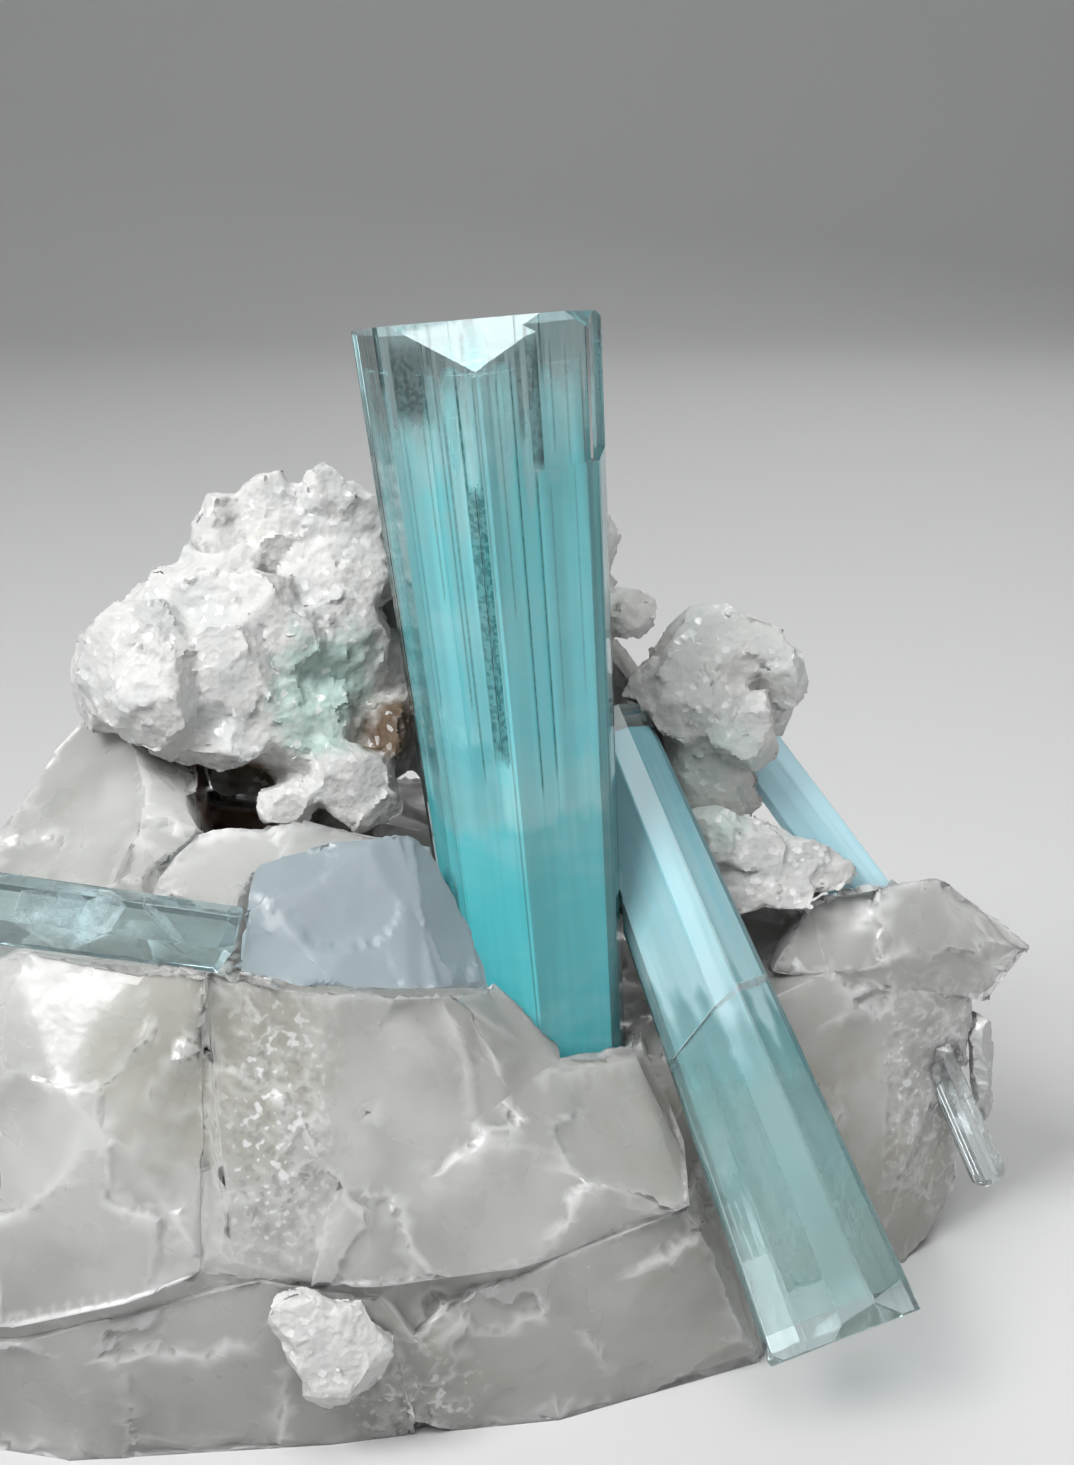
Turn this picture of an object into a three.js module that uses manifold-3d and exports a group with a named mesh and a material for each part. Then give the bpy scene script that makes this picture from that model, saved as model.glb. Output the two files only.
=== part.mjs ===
// An aquamarine specimen: one tall upright prism, a second one that leans out to the front right, and three
// smaller ones, grown on milky quartz with white albite along its crest.
// Millimetres, +Z up, the viewer in front is towards -Y, and the origin is on the flat underside.

import * as THREE from 'three';
import { ConvexGeometry } from 'three/addons/geometries/ConvexGeometry.js';
import { mergeVertices } from 'three/addons/utils/BufferGeometryUtils.js';
import Module from 'manifold-3d';

const wasm = await Module();
wasm.setup();

// Driving dimensions
const GAP = 0.35;
const MAIN_LENGTH = 100.7;
const MAIN_ROOT_SCALE = 0.664;
const LEDGE_BELOW_TIP = 15.6;
const LEDGE_DEPTH = 0.9;
const RIDGE_WIDTH = 1.4;
const RIDGE_LENGTH = 30;

const COLOURS = {
  aquamarine: { color: 0x7cc7cf, roughness: 0.12 },
  paleBeryl: { color: 0xc3dde2, roughness: 0.15 },
  quartz: { color: 0xc9cac4, roughness: 0.3 },
  albite: { color: 0xf1f1ee, roughness: 0.75 },
};

// Makes a closed solid of a three.js geometry, whose shared vertices are merged first.
function solidOf(geometry, matrix = new THREE.Matrix4()) {
  const bare = new THREE.BufferGeometry();
  bare.setAttribute('position', geometry.getAttribute('position').clone());
  bare.setIndex(geometry.index);
  const merged = mergeVertices(bare.applyMatrix4(matrix), 1e-4);
  return new wasm.Manifold(new wasm.Mesh({
    numProp: 3,
    vertProperties: new Float32Array(merged.attributes.position.array),
    triVerts: new Uint32Array(merged.index.array),
  }));
}

function geometryOf(solid) {
  const mesh = solid.getMesh();
  const geometry = new THREE.BufferGeometry();
  geometry.setAttribute('position', new THREE.BufferAttribute(mesh.vertProperties, 3));
  geometry.setIndex(new THREE.BufferAttribute(mesh.triVerts, 1));
  return geometry;
}

const vectors = (points) => points.map((p) => new THREE.Vector3(...p));

// The convex solid round some points. With a clearance it is larger by that much on every side.
function hull(points, clearance = 0) {
  const corners = clearance > 0 ? [-clearance, clearance] : [0];
  const spread = vectors(points).flatMap((p) =>
    corners.flatMap((dx) => corners.flatMap((dy) => corners.map((dz) =>
      new THREE.Vector3(p.x + dx, p.y + dy, p.z + dz)))));
  return solidOf(new ConvexGeometry(spread));
}

const join = (solids) => solids.reduce((all, one) => all.add(one));

// Takes off what lies beyond a flat face through a point.
function chop(solid, point, normal) {
  const SIZE = 160;
  const outward = new THREE.Vector3(...normal).normalize();
  const centre = new THREE.Vector3(...point).addScaledVector(outward, SIZE / 2);
  const turn = new THREE.Quaternion().setFromUnitVectors(new THREE.Vector3(0, 0, 1), outward);
  const matrix = new THREE.Matrix4().compose(centre, turn, new THREE.Vector3(1, 1, 1));
  return solid.subtract(solidOf(new THREE.BoxGeometry(SIZE, SIZE, SIZE), matrix));
}

// Repeatable random numbers from 0 to 1
function dice(seed) {
  let state = seed * 2654435761 >>> 0;
  return () => {
    state = (state + 0x6d2b79f5) >>> 0;
    let t = Math.imul(state ^ (state >>> 15), state | 1);
    t ^= t + Math.imul(t ^ (t >>> 7), t | 61);
    return ((t ^ (t >>> 14)) >>> 0) / 4294967296;
  };
}

// A crystal's place: its local +Z runs from foot to tip and its local +X is close to right.
function pose(foot, tip, right = [1, 0, 0]) {
  const z = new THREE.Vector3(...tip).sub(new THREE.Vector3(...foot)).normalize();
  const x = new THREE.Vector3(...right).addScaledVector(z, -z.dot(new THREE.Vector3(...right))).normalize();
  const y = new THREE.Vector3().crossVectors(z, x);
  return new THREE.Matrix4().makeBasis(x, y, z).setPosition(...foot);
}

const scaleAt = (form, z) => form.rootScale + (1 - form.rootScale) * z / form.length;

// A prism whose outline is given at its tip and shrinks evenly to the root
function prism(form) {
  const shape = new THREE.Shape(form.outline.map(([x, y]) => new THREE.Vector2(x, y)));
  const geometry = new THREE.ExtrudeGeometry(shape, { depth: form.length, bevelEnabled: false, steps: 1 });
  const p = geometry.getAttribute('position');
  for (let i = 0; i < p.count; i += 1) {
    const s = scaleAt(form, p.getZ(i));
    p.setXY(i, p.getX(i) * s, p.getY(i) * s);
  }
  return solidOf(geometry);
}

// The room a crystal needs in its neighbours, in the part's frame
function sheath(form) {
  const ends = [0, form.length].flatMap((z) =>
    form.outline.map(([x, y]) => [x * scaleAt(form, z), y * scaleAt(form, z), z]));
  return hull(vectors(ends).map((p) => p.applyMatrix4(form.pose).toArray()), GAP);
}

// The tall crystal. Its front has growth steps along its length, drawn here from left to right.
const MAIN = {
  length: MAIN_LENGTH,
  rootScale: MAIN_ROOT_SCALE,
  pose: pose([10.3, 0, 15.7], [1.7, 0, 115.3]),
  outline: [
    [-13.3, 3.0], [-9.7, -6.4],
    [-5.6, -8.55], [-5.5, -8.15], [-4.1, -8.9], [-4.0, -9.4],
    [-2.3, -10.3], [-2.2, -9.85], [-0.8, -10.6], [-0.75, -11.15],
    [-0.1, -11.5],
    [2.4, -10.25], [2.45, -9.8], [3.3, -9.4], [3.35, -9.8],
    [4.7, -9.1], [4.75, -8.6], [5.2, -8.35], [5.3, -8.8],
    [12.1, -5.2], [13.0, 3.5],
    [9.0, 7.0], [4.0, 7.0], [3.8, 6.5], [-3.0, 6.5], [-3.2, 7.0], [-9.5, 7.0],
  ],
};

function mainCrystal() {
  const ledgeFloor = MAIN_LENGTH - LEDGE_BELOW_TIP;
  const ledge = hull([ledgeFloor, MAIN_LENGTH + 1].flatMap((z) => [
    [5.0, -20, z], [20, -20, z], [20, -1.0 + LEDGE_DEPTH, z], [5.0, -8.95 + LEDGE_DEPTH, z],
  ]));
  const ridgeTop = ledgeFloor - 0.4;
  const ridgeFoot = ridgeTop - RIDGE_LENGTH;
  const ridge = hull([
    [-2.1, -10.3, ridgeTop - 1.3], [-2.1 + RIDGE_WIDTH, -11.1, ridgeTop], [-1.5, -9, ridgeTop + 0.2],
    [-2.1, -9, ridgeTop - 1.3], [-2.1 + RIDGE_WIDTH, -9, ridgeTop],
    [-2.0, -9.4, ridgeFoot], [-2.0 + RIDGE_WIDTH, -9.9, ridgeFoot], [-2.0, -8, ridgeFoot],
    [-2.0 + RIDGE_WIDTH, -8, ridgeFoot],
  ]);
  const stepped = prism(MAIN).subtract(ledge).add(ridge);
  const cornerCuts = [
    [[0, -7.0, MAIN_LENGTH], [0, -0.737, 0.677]],
    [[0, -7.0, MAIN_LENGTH], [0, 0.13, 0.99]],
    [[8.7, -6.96, MAIN_LENGTH], [0.694, -0.144, 0.705]],
    [[-12.4, 0.5, MAIN_LENGTH], [-0.85, -0.28, 0.45]],
  ];
  return cornerCuts.reduce((solid, [point, normal]) => chop(solid, point, normal), stepped);
}

// The crystal that leans out to the front right. Its local +Y faces the viewer.
const LEANING = {
  length: 74,
  rootScale: 0.63,
  pose: pose([15.7, 16.2, 66.5], [40.8, -27, 11.9]),
  outline: [
    [-8.8, -0.5], [-8.4, 2.0], [-1.1, 7.0], [3.0, 7.2], [7.9, 3.2], [8.8, -0.8],
    [5.5, -6.0], [-1.0, -7.5], [-6.5, -5.5],
  ],
};

function leaningCrystal() {
  const tip = LEANING.length;
  const cuts = [
    [[1.0, 5.6, tip], [0.1, 0.75, 0.65]],
    [[8.3, 0, tip], [0.8, 0.1, 0.6]],
    [[-8.2, 0, tip], [-0.75, 0.2, 0.6]],
  ];
  const whole = cuts.reduce((solid, [point, normal]) => chop(solid, point, normal), prism(LEANING));
  const toLocal = LEANING.pose.clone().invert();
  return whole.subtract(solidOf(geometryOf(sheath(MAIN)), toLocal));
}

// The crystal across the front left, which runs to the left
const LEFT = {
  length: 38,
  rootScale: 0.92,
  pose: pose([-22.2, -22.0, 55.4], [-60.0, -19.0, 59.6], [0, 0, 1]),
  outline: [[-3.5, -1.4], [-3.1, 1.9], [0.2, 3.6], [3.2, 2.1], [3.5, -1.3], [0.3, -3.3]],
};

function leftCrystal() {
  const tip = LEFT.length;
  const bevelled = chop(prism(LEFT), [2.4, 0, tip], [0.7, 0.2, 0.6]);
  return chop(chop(bevelled, [-2.6, 0, tip], [-0.7, 0.1, 0.6]), [0, 0, 0.9], [-0.35, 0.25, -0.9]);
}

// The thin pale crystal at the back right, held at both ends
const BACK = {
  length: 23,
  rootScale: 0.9,
  pose: pose([34.5, 19.5, 62.0], [48.4, 15.5, 43.6]),
  outline: [[-3.5, -0.6], [-2.6, 1.2], [1.2, 1.7], [3.4, 0.6], [2.8, -1.2], [-1.2, -1.7]],
};

// The small clear crystal on the right edge
const SMALL = {
  length: 17,
  rootScale: 0.95,
  pose: pose([56.9, 12.8, 25.0], [63.7, 7.8, 10.2]),
  outline: [[-2.3, -0.5], [-1.9, 1.2], [0.1, 2.2], [2.0, 1.1], [2.3, -0.9], [0.2, -2.0]],
};

function smallCrystal() {
  const tip = SMALL.length;
  const cuts = [
    [[0, 1.2, tip], [0, 0.8, 0.6]],
    [[1.4, 0, tip], [0.75, 0.2, 0.6]],
    [[-1.5, 0, tip], [-0.75, 0.2, 0.6]],
  ];
  return cuts.reduce((solid, [point, normal]) => chop(solid, point, normal), prism(SMALL));
}

// A pale blue piece of massive beryl that lies against the foot of the tall crystal
const FRAGMENT = [
  [-23.3, -22.0, 52.4], [-21.8, -20.0, 57.5], [-21.5, -14.0, 60.2], [-14.0, -10.5, 61.8], [-6.7, -8.0, 61.9],
  [-3.7, -5.0, 59.0], [-2.5, -4.0, 48.9], [2.6, -8.4, 46.4], [3.0, -10.4, 44.9], [-2.1, -18.4, 48.6],
  [-11.1, -22.6, 50.3], [-16.5, -23.0, 50.9],
  [-18, -8, 48], [-4, -4, 44],
];

// The quartz is one mass of broken blocks, each the convex solid round its corners.
const QUARTZ = {
  core: [
    [-64, -14, 0], [-46, -29, 0], [-14, -27.5, 0], [10, -23.5, 0], [24, -17.5, 0], [33, -14, 0], [47, 3, 0],
    [52, 10, 0], [49, 28, 0], [22, 38, 0], [-36, 39, 0], [-63, 22, 0],
    [-61, -12, 32], [-20, -19, 32], [5, -14, 30], [22, -6, 28], [42, 6, 30], [46, 22, 34], [26, 33, 42],
    [-30, 35, 44], [-57, 20, 42],
  ],
  frontLeft: [
    [-31.2, -25.5, 53.8], [-46.6, -22, 55], [-62.2, -10, 52], [-39.3, -31, 43.9], [-45.2, -33, 37.7],
    [-59.5, -24, 31.4], [-32.3, -33, 37.7], [-25.4, -25, 53], [-46.9, -33, 17.1], [-33.7, -34, 20.9],
    [-26.1, -33, 23.5], [-60.5, -24, 12], [-60, 10, 16], [-62, 8, 50], [-25, 10, 22], [-24, 6, 52],
  ],
  frontCentre: [
    [-25.4, -24, 53.2], [-11.1, -22, 50.5], [-10.6, -26, 38], [-26.1, -32.4, 23.5], [-22.8, -33, 24.5],
    [-13.3, -31, 20.4], [-9, -30, 22], [-29, 0, 52], [-8, 0, 48], [-28, 0, 22], [-8, 0, 20],
  ],
  frontRight: [
    [-10.7, -21.5, 50.4], [-2.1, -18, 48.6], [3, -10, 44.9], [10, -7, 37.4], [10.5, -11, 36.1],
    [5.6, -17, 34.7], [1, -23, 31.5], [-3.1, -25, 34.4], [-10.8, -27, 38.9],
    [-12, 2, 46], [4, 2, 40], [-12, 2, 28], [4, 0, 26],
  ],
  frontLow: [
    [-10.8, -26.2, 37.6], [1, -22, 32.3], [7, -16, 34.4], [10.5, -10.5, 36.3], [19.5, -7, 34.8],
    [24.8, -14, 25.7], [-15.1, -32, 21.4], [-8.3, -31, 20.9], [1.1, -28, 22.1], [10.4, -25, 19.9],
    [24.5, -19, 23.1], [-10, 0, 22], [20, 2, 22], [20, 4, 33],
  ],
  slope: [
    [-6.4, -29, 12.4], [1.6, -27.5, 18], [24.5, -18, 22], [31, -14.5, 9.9], [33.2, -15.4, 1.5], [33, -14.5, 0],
    [24, -18.6, 0], [10.5, -24.8, 0], [-0.3, -26.5, 0], [-6, -28.8, 3], [-4, 0, 2], [-4, 0, 16], [28, 2, 2],
    [28, 2, 22],
  ],
  lowLeft: [
    [-48.5, -32.3, 0], [-60, -22, 0], [-14.1, -29, 0], [-5, -27.2, 0], [-50, -32.6, 14], [-20, -32, 22],
    [-8, -30.4, 19], [-3, -28.2, 10], [-60, -23, 12], [-58, 0, 2], [-6, 0, 2], [-58, 0, 16], [-6, 0, 18],
  ],
  shoulder: [
    [-48.5, -13, 59], [-41.7, -15, 59.2], [-52, 0, 55.8], [-47.5, 5, 63.8], [-44.4, 8, 69.4], [-38.1, 8, 70.4],
    [-30, 3, 65.4], [-28, -6, 61.4], [-33, -14, 59.6], [-63, -4, 46], [-62, 14, 44], [-44, 22, 66], [-32, 18, 64],
    [-60, -10, 40], [-30, -14, 46], [-30, 18, 44],
  ],
  bulge: [
    [-31.9, -18, 59.6], [-27.8, -10, 62.5], [-17.6, -6, 62.6], [-3.7, -4, 58.5], [-6.5, -14, 53.1],
    [-21.4, -21, 55.5], [-31, -23, 54], [-30, 4, 56], [-6, 4, 52], [-30, 4, 44], [-6, 4, 42],
  ],
  rearLeft: [
    [-60, 18, 4], [-34, 40, 3], [-30, 42, 20], [-34, 36, 46], [-54, 24, 50], [-62, 14, 30], [-46, 12, 60],
    [-20, 32, 54], [-18, 38, 22], [-20, 10, 20], [-20, 10, 58],
  ],
  rearMiddle: [
    [-22, 36, 2], [10, 39, 3], [12, 34, 34], [-4, 30, 56], [-22, 30, 54], [16, 26, 46], [-22, 8, 24], [18, 8, 24],
    [12, 12, 50], [-10, 12, 56],
  ],
  rearRight: [
    [12, 38, 4], [40, 33, 3], [50, 26, 12], [48, 22, 38], [30, 28, 44], [12, 32, 40], [16, 8, 18], [46, 10, 18],
    [44, 12, 42],
  ],
  rightBlock: [
    [36.8, 8, 36.5], [46.5, 10, 39], [60.3, 12.5, 33], [62.3, 14, 24.9], [63, 15.5, 13.3], [59.3, 12.4, 3],
    [53.3, 6.1, 0], [48.7, 3.6, 0], [39.1, 0, 12.3], [26.6, -5, 21.1], [22, -2, 33], [34, 10, 2],
    [56, 26, 4], [60, 24, 22], [50, 26, 34], [30, 20, 36],
  ],
  point: [
    [67.7, 12, 39.5], [54.4, 14, 47.9], [56.5, 14.5, 47.6], [47.8, 13, 47.4], [62.8, 12, 32.6], [60, 10, 33.5],
    [45, 8, 38], [36, 8.5, 38], [40, 12, 46], [52, 24, 44], [60, 22, 36], [44, 26, 34], [36, 20, 36],
  ],
};

// Shallow shell-shaped scars where chips broke away, as the centres of the round faces that they left
const SCAR_RADIUS = 40;
const SCARS = [
  [-54.6, -67.6, 47.8], [6.7, -57, 51.7], [63.4, -28, 36.6], [-54, -69.4, 3], [28.5, -59.2, 17],
  [-10, 75.5, 36], [53, 66, 30], [-100, 8, 32], [-70, 60, 33], [90.5, 39, 18], [-61.5, -19.5, 90],
];

// The deep hole between the quartz and the albite, left of the tall crystal
const HOLE = [
  [-30.4, -6, 63.6], [-23.4, -6, 62.8], [-22.6, -6, 61.2], [-27.8, -6, 60.4],
  [-31, 12, 65], [-20, 12, 64], [-20, 12, 60.5], [-30, 12, 60],
];

function scar(centre) {
  const matrix = new THREE.Matrix4().setPosition(...centre);
  return solidOf(new THREE.SphereGeometry(SCAR_RADIUS, 34, 20), matrix);
}

const embedded = () => [MAIN, LEANING, LEFT, BACK, SMALL].map(sheath);

function quartzMatrix() {
  const mass = join(Object.values(QUARTZ).map((corners) => hull(corners)));
  const taken = [...SCARS.map(scar), ...embedded(), hull(FRAGMENT, GAP), hull(HOLE)];
  const broken = taken.reduce((solid, one) => solid.subtract(one), mass);
  return chop(broken, [0, 0, 0], [0, 0, -1]);
}

// The corners of one albite blade, a rounded plate with a slightly crowned face. face is its [turn, tilt] in
// degrees, where turn 0 looks at the viewer and tilt 90 looks up. A pointed blade narrows to its top.
function bladeCorners([[x, y, z], [wide, tall, thick], [turn, tilt], roll, pointed = false], seed) {
  const SIDES = 7;
  const throwDice = dice(seed);
  const ring = (scale, depth) => Array.from({ length: SIDES }, (_, i) => {
    const angle = (i + 0.5 * throwDice()) / SIDES * 2 * Math.PI;
    const reach = scale * (0.86 + 0.24 * throwDice());
    const rise = Math.max(0, Math.sin(angle));
    const narrow = pointed ? 1 - 0.55 * rise : 1;
    const peak = pointed && rise > 0 ? 1.15 : 1;
    return new THREE.Vector3(
      Math.cos(angle) * reach * narrow * wide / 2,
      Math.sin(angle) * reach * peak * tall / 2,
      depth * thick,
    );
  });
  const crown = new THREE.Vector3(0, 0, thick * 0.5);
  const matrix = new THREE.Matrix4().makeRotationFromEuler(new THREE.Euler(
    THREE.MathUtils.degToRad(90 - tilt), 0, THREE.MathUtils.degToRad(turn), 'ZXY'));
  matrix.multiply(new THREE.Matrix4().makeRotationZ(THREE.MathUtils.degToRad(roll)));
  matrix.setPosition(x, y, z);
  return [...ring(0.82, 0.38), ...ring(1, 0.02), ...ring(0.8, -0.42), crown]
    .map((p) => p.applyMatrix4(matrix).toArray());
}

// Albite blades as [place, size, [turn, tilt], roll, pointed]
const CREST = [
  [[-35.2, 4.0, 76.2], [16, 18, 11], [-18, 8], 8], [[-34.0, 1.5, 73.5], [12, 11, 10], [-8, -8], 20],
  [[-39.0, 6.5, 75.0], [10, 14, 10], [-50, 0], 0], [[-26.0, 4.5, 76.0], [10.5, 17, 8], [6, 4], 10],
  [[-33.6, 9.0, 84.6], [5, 6, 4], [-25, 15], 16, true], [[-29.6, 8.5, 85.2], [5, 5.6, 4.5], [-10, 15], -10, true],
  [[-26.6, 8.2, 85.2], [6, 6, 4.5], [0, 12], 20], [[-21.8, 6.2, 84.2], [6.4, 7.6, 4.5], [4, 8], 35],
  [[-28.0, 12.0, 90.6], [6, 8.6, 5], [-24, 12], 0, true], [[-22.8, 14.0, 92.6], [8.6, 9.4, 4.5], [-6, 8], -18, true],
  [[-20.8, 12.2, 90.0], [7.4, 8, 4.5], [6, 10], 25], [[-15.4, 13.4, 92.6], [9, 11, 4.6], [6, 4], 14, true],
  [[-13.8, 14.0, 90.6], [8, 9, 4.6], [16, 4], -25], [[-10.4, 14.4, 91.2], [5, 8, 5], [14, 4], 0],
  [[-14.5, 12.0, 85.0], [14, 10, 8], [4, 14], 4], [[-27.0, 13.0, 86.4], [11, 9, 8], [-20, 30], 0],
  [[-30.0, 11.0, 80.0], [16, 12, 11], [-30, 20], 0], [[-18.8, 6.2, 79.6], [7, 8, 6], [8, 6], 12],
  [[-15.0, 10.4, 77.4], [15, 16, 9], [14, 0], 16], [[-21.0, 6.0, 73.6], [8, 9, 6], [4, -8], -12],
  [[-26.0, 1.6, 68.2], [8, 5.6, 5], [-4, -22], 6], [[-31.8, 2.4, 68.6], [7.4, 5.6, 5], [-12, -22], -8],
  [[-19.8, 4.2, 69.4], [8, 9, 5], [8, -14], 24], [[-14.8, 6.6, 70.6], [6, 7.4, 5], [14, -10], -10],
  [[-12.8, 2.2, 63.9], [10, 12, 6], [12, 14], 32, true], [[-10.2, 2.4, 61.6], [7, 7, 5], [24, 10], 0],
  [[-20.0, 0.8, 62.0], [7.4, 6, 5], [-6, 20], 14], [[-8.0, 5.4, 68.2], [3.6, 7.6, 4], [0, 6], -4],
  [[-15.5, 7.0, 63.5], [15, 9, 7], [0, 0], 0], [[-9.0, 9.5, 67.0], [7, 12, 7], [0, 0], 0],
  [[-34, 18, 76], [18, 16, 12], [-150, 5], 0], [[-22, 22, 79], [18, 18, 10], [180, 10], 20],
  [[-9, 21, 84], [15, 16, 9], [170, 10], 0], [[-25, 19, 87], [12, 11, 8], [-160, 25], 0, true],
  [[-14, 20, 90], [10, 9, 6], [170, 10], 0, true], [[-30, 22, 70], [14, 12, 10], [-160, -10], 30],
  [[-25, 12, 70], [30, 16, 20], [0, 0], 0], [[-12, 18, 69], [26, 18, 18], [180, 0], 0],
  [[0, 18, 83], [17, 17, 9], [0, 0], 0], [[-3, 17, 91], [12, 10, 6], [0, 0], 0],
  [[7, 18.5, 88.5], [12, 9, 7], [0, 10], 30], [[14.6, 18, 87.6], [6, 10, 5], [10, 5], 0],
  [[18.6, 16.5, 79.8], [7, 7, 6], [10, 10], 10], [[11, 20, 79], [16, 16, 10], [0, 0], 0],
  [[8, 25, 69], [26, 20, 12], [180, 5], 0], [[2, 14, 66], [22, 18, 12], [0, 0], 0],
  [[29, 20, 74.6], [18, 12, 7], [6, 14], 6], [[37.2, 19.4, 71.4], [5.4, 9, 6], [30, 5], 0],
  [[24, 15.6, 69.6], [11.6, 12.6, 7], [-8, 8], 20], [[31.6, 15.6, 66.6], [8, 9, 6], [14, 6], 0],
  [[32.0, 12.4, 67.2], [7.4, 10, 5], [10, 8], -26, true], [[33.2, 13.4, 64.4], [6.4, 6, 5], [20, -6], 10],
  [[27.4, 17.4, 61.4], [13, 11, 8], [0, 0], 0], [[30, 25, 67], [20, 17, 10], [170, 10], 0],
  [[28.6, 17.2, 57.2], [11, 11, 7], [0, 10], 30], [[31.8, 19.4, 58.0], [9, 10, 7], [10, 6], 0],
  [[-26.5, 16.5, 61.5], [18, 12, 9], [0, 10], 0], [[-17.0, 17.0, 61.5], [16, 12, 9], [0, 10], 20],
  [[27, 24, 61], [17, 14, 10], [180, 0], 0], [[20, 25, 60], [16, 16, 12], [180, 0], 0],
];

// The low cluster between the leaning crystal and the quartz point
const FOOT = [
  [[33.2, 11.2, 52.8], [10, 7.4, 6], [0, 22], 0], [[28.6, 11, 54.2], [8, 8, 6], [-10, 15], 30],
  [[38.8, 12.6, 50.8], [8.4, 5.6, 6], [8, 26], 8], [[36.4, 10.4, 47.8], [10, 6, 6], [6, 26], -10],
  [[43.0, 13.2, 48.6], [7, 5, 5], [20, 26], 12], [[47.6, 18, 48.6], [6.4, 4.8, 5], [14, 20], 0],
  [[32, 10.4, 47.4], [8, 6, 6], [0, 20], 10], [[28.6, 13, 48], [15, 10, 8], [0, 0], 0],
  [[38, 16.5, 47], [18, 8, 8], [0, 0], 0], [[34, 17, 50], [14, 8, 8], [160, 20], 0],
];

const CHIP = [
  [[-13.2, -32.2, 14.4], [11, 13, 5], [0, 5], 30], [[-16.4, -32.4, 18.6], [7, 7, 4.5], [-5, 10], 0],
  [[-10.4, -31.4, 13.2], [8, 8, 5], [12, 0], 0], [[-13.4, -31.6, 9.6], [7, 5, 4.5], [0, -5], 40],
];

const EDGE = [
  [[61.6, 14, 27.4], [4, 6, 4], [60, 0], 0], [[62.6, 14.6, 22.4], [4, 7, 4], [70, 0], 20],
  [[62.9, 15.4, 17.2], [4, 6, 4], [70, -5], 0],
];

const cluster = (rows, seed) => rows.map((row, i) => bladeCorners(row, seed + i));
const crest = cluster(CREST, 100);

// Albite keeps clear of the quartz that it sits on and of the crystals and blades beside it.
function albite(blades, beside = []) {
  const rest = [...Object.values(QUARTZ), FRAGMENT, ...beside].map((corners) => hull(corners, GAP));
  const whole = join(blades.map((corners) => hull(corners)));
  const cut = [...rest, ...embedded()].reduce((solid, one) => solid.subtract(one), whole);
  return cut.decompose().sort((a, b) => b.volume() - a.volume())[0];
}

function material({ color, roughness }) {
  return new THREE.MeshStandardMaterial({ color, roughness, metalness: 0 });
}

const specimen = new THREE.Group();

function place(name, solid, finish, matrix = new THREE.Matrix4()) {
  const mesh = new THREE.Mesh(geometryOf(solid), material(finish));
  mesh.name = name;
  mesh.applyMatrix4(matrix);
  specimen.add(mesh);
}

place('main_crystal', mainCrystal(), COLOURS.aquamarine, MAIN.pose);
place('leaning_crystal', leaningCrystal(), COLOURS.aquamarine, LEANING.pose);
place('left_crystal', leftCrystal(), COLOURS.paleBeryl, LEFT.pose);
place('back_crystal', prism(BACK), COLOURS.paleBeryl, BACK.pose);
place('small_crystal', smallCrystal(), COLOURS.paleBeryl, SMALL.pose);
place('beryl_fragment', hull(FRAGMENT).subtract(sheath(MAIN)).subtract(sheath(LEFT)), COLOURS.paleBeryl);
place('quartz_matrix', quartzMatrix(), COLOURS.quartz);
place('albite_crest', albite(crest), COLOURS.albite);
place('albite_foot', albite(cluster(FOOT, 180), crest), COLOURS.albite);
place('albite_chip', albite(cluster(CHIP, 200)), COLOURS.albite);
place('albite_edge', albite(cluster(EDGE, 300)), COLOURS.albite);

export default specimen;
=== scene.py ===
"""Looks of a mineral specimen: aquamarine crystals in milky quartz that is crested with white albite.

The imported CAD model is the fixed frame. Sizes in the classes below are millimetres in the CAD's frame, with
the viewer towards -Y and the flat underside at z = 0, and each finished mesh is in metres.
"""

import logging
import math
from dataclasses import dataclass, field
from enum import Enum

import bmesh
import bpy
import numpy as np
from mathutils import Matrix, Vector
from mathutils.kdtree import KDTree


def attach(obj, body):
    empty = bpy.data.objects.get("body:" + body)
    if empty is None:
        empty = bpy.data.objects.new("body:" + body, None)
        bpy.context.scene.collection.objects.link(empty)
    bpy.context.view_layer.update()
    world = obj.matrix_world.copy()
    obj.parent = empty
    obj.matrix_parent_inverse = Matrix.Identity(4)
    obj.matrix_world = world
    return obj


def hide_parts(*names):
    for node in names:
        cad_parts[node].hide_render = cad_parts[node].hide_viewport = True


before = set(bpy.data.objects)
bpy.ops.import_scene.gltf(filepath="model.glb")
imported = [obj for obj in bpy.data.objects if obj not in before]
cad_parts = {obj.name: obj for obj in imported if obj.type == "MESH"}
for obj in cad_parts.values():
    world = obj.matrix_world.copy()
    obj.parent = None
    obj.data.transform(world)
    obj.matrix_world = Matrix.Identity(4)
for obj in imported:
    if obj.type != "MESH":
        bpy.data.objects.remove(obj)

logging.basicConfig(level=logging.INFO, format="%(relativeCreated)6d ms %(name)s: %(message)s")
log = logging.getLogger("specimen")

MM = 0.001
BODY = "root"
BERYL_IOR = 1.577
QUARTZ_IOR = 1.544
ALBITE_IOR = 1.53
# Corners of the CAD's loose triangles that lie nearer than this, in metres, are one point.
ONE_POINT = 2e-6
# How far the axes of the crystals are turned about X and Y, in degrees.
TALL_TILT = (0.0, -4.9)
LEANING_TILT = (-35.7, -24.7)
LEFT_TILT = (-4.5, -83.7)
BACK_TILT = (-9.9, -37.1)
SMALL_TILT = (-17.0, -24.7)

Vec3 = tuple[float, float, float]
Rgb = tuple[float, float, float]
Sockets = dict[str, bpy.types.NodeSocket]
Inputs = dict[str | int, object]


class Slot(Enum):
    """The record's material slots."""

    AQUAMARINE = "aquamarine"
    PALE_BERYL = "pale_beryl"
    QUARTZ = "quartz"
    ALBITE = "albite"


# Node trees


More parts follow.
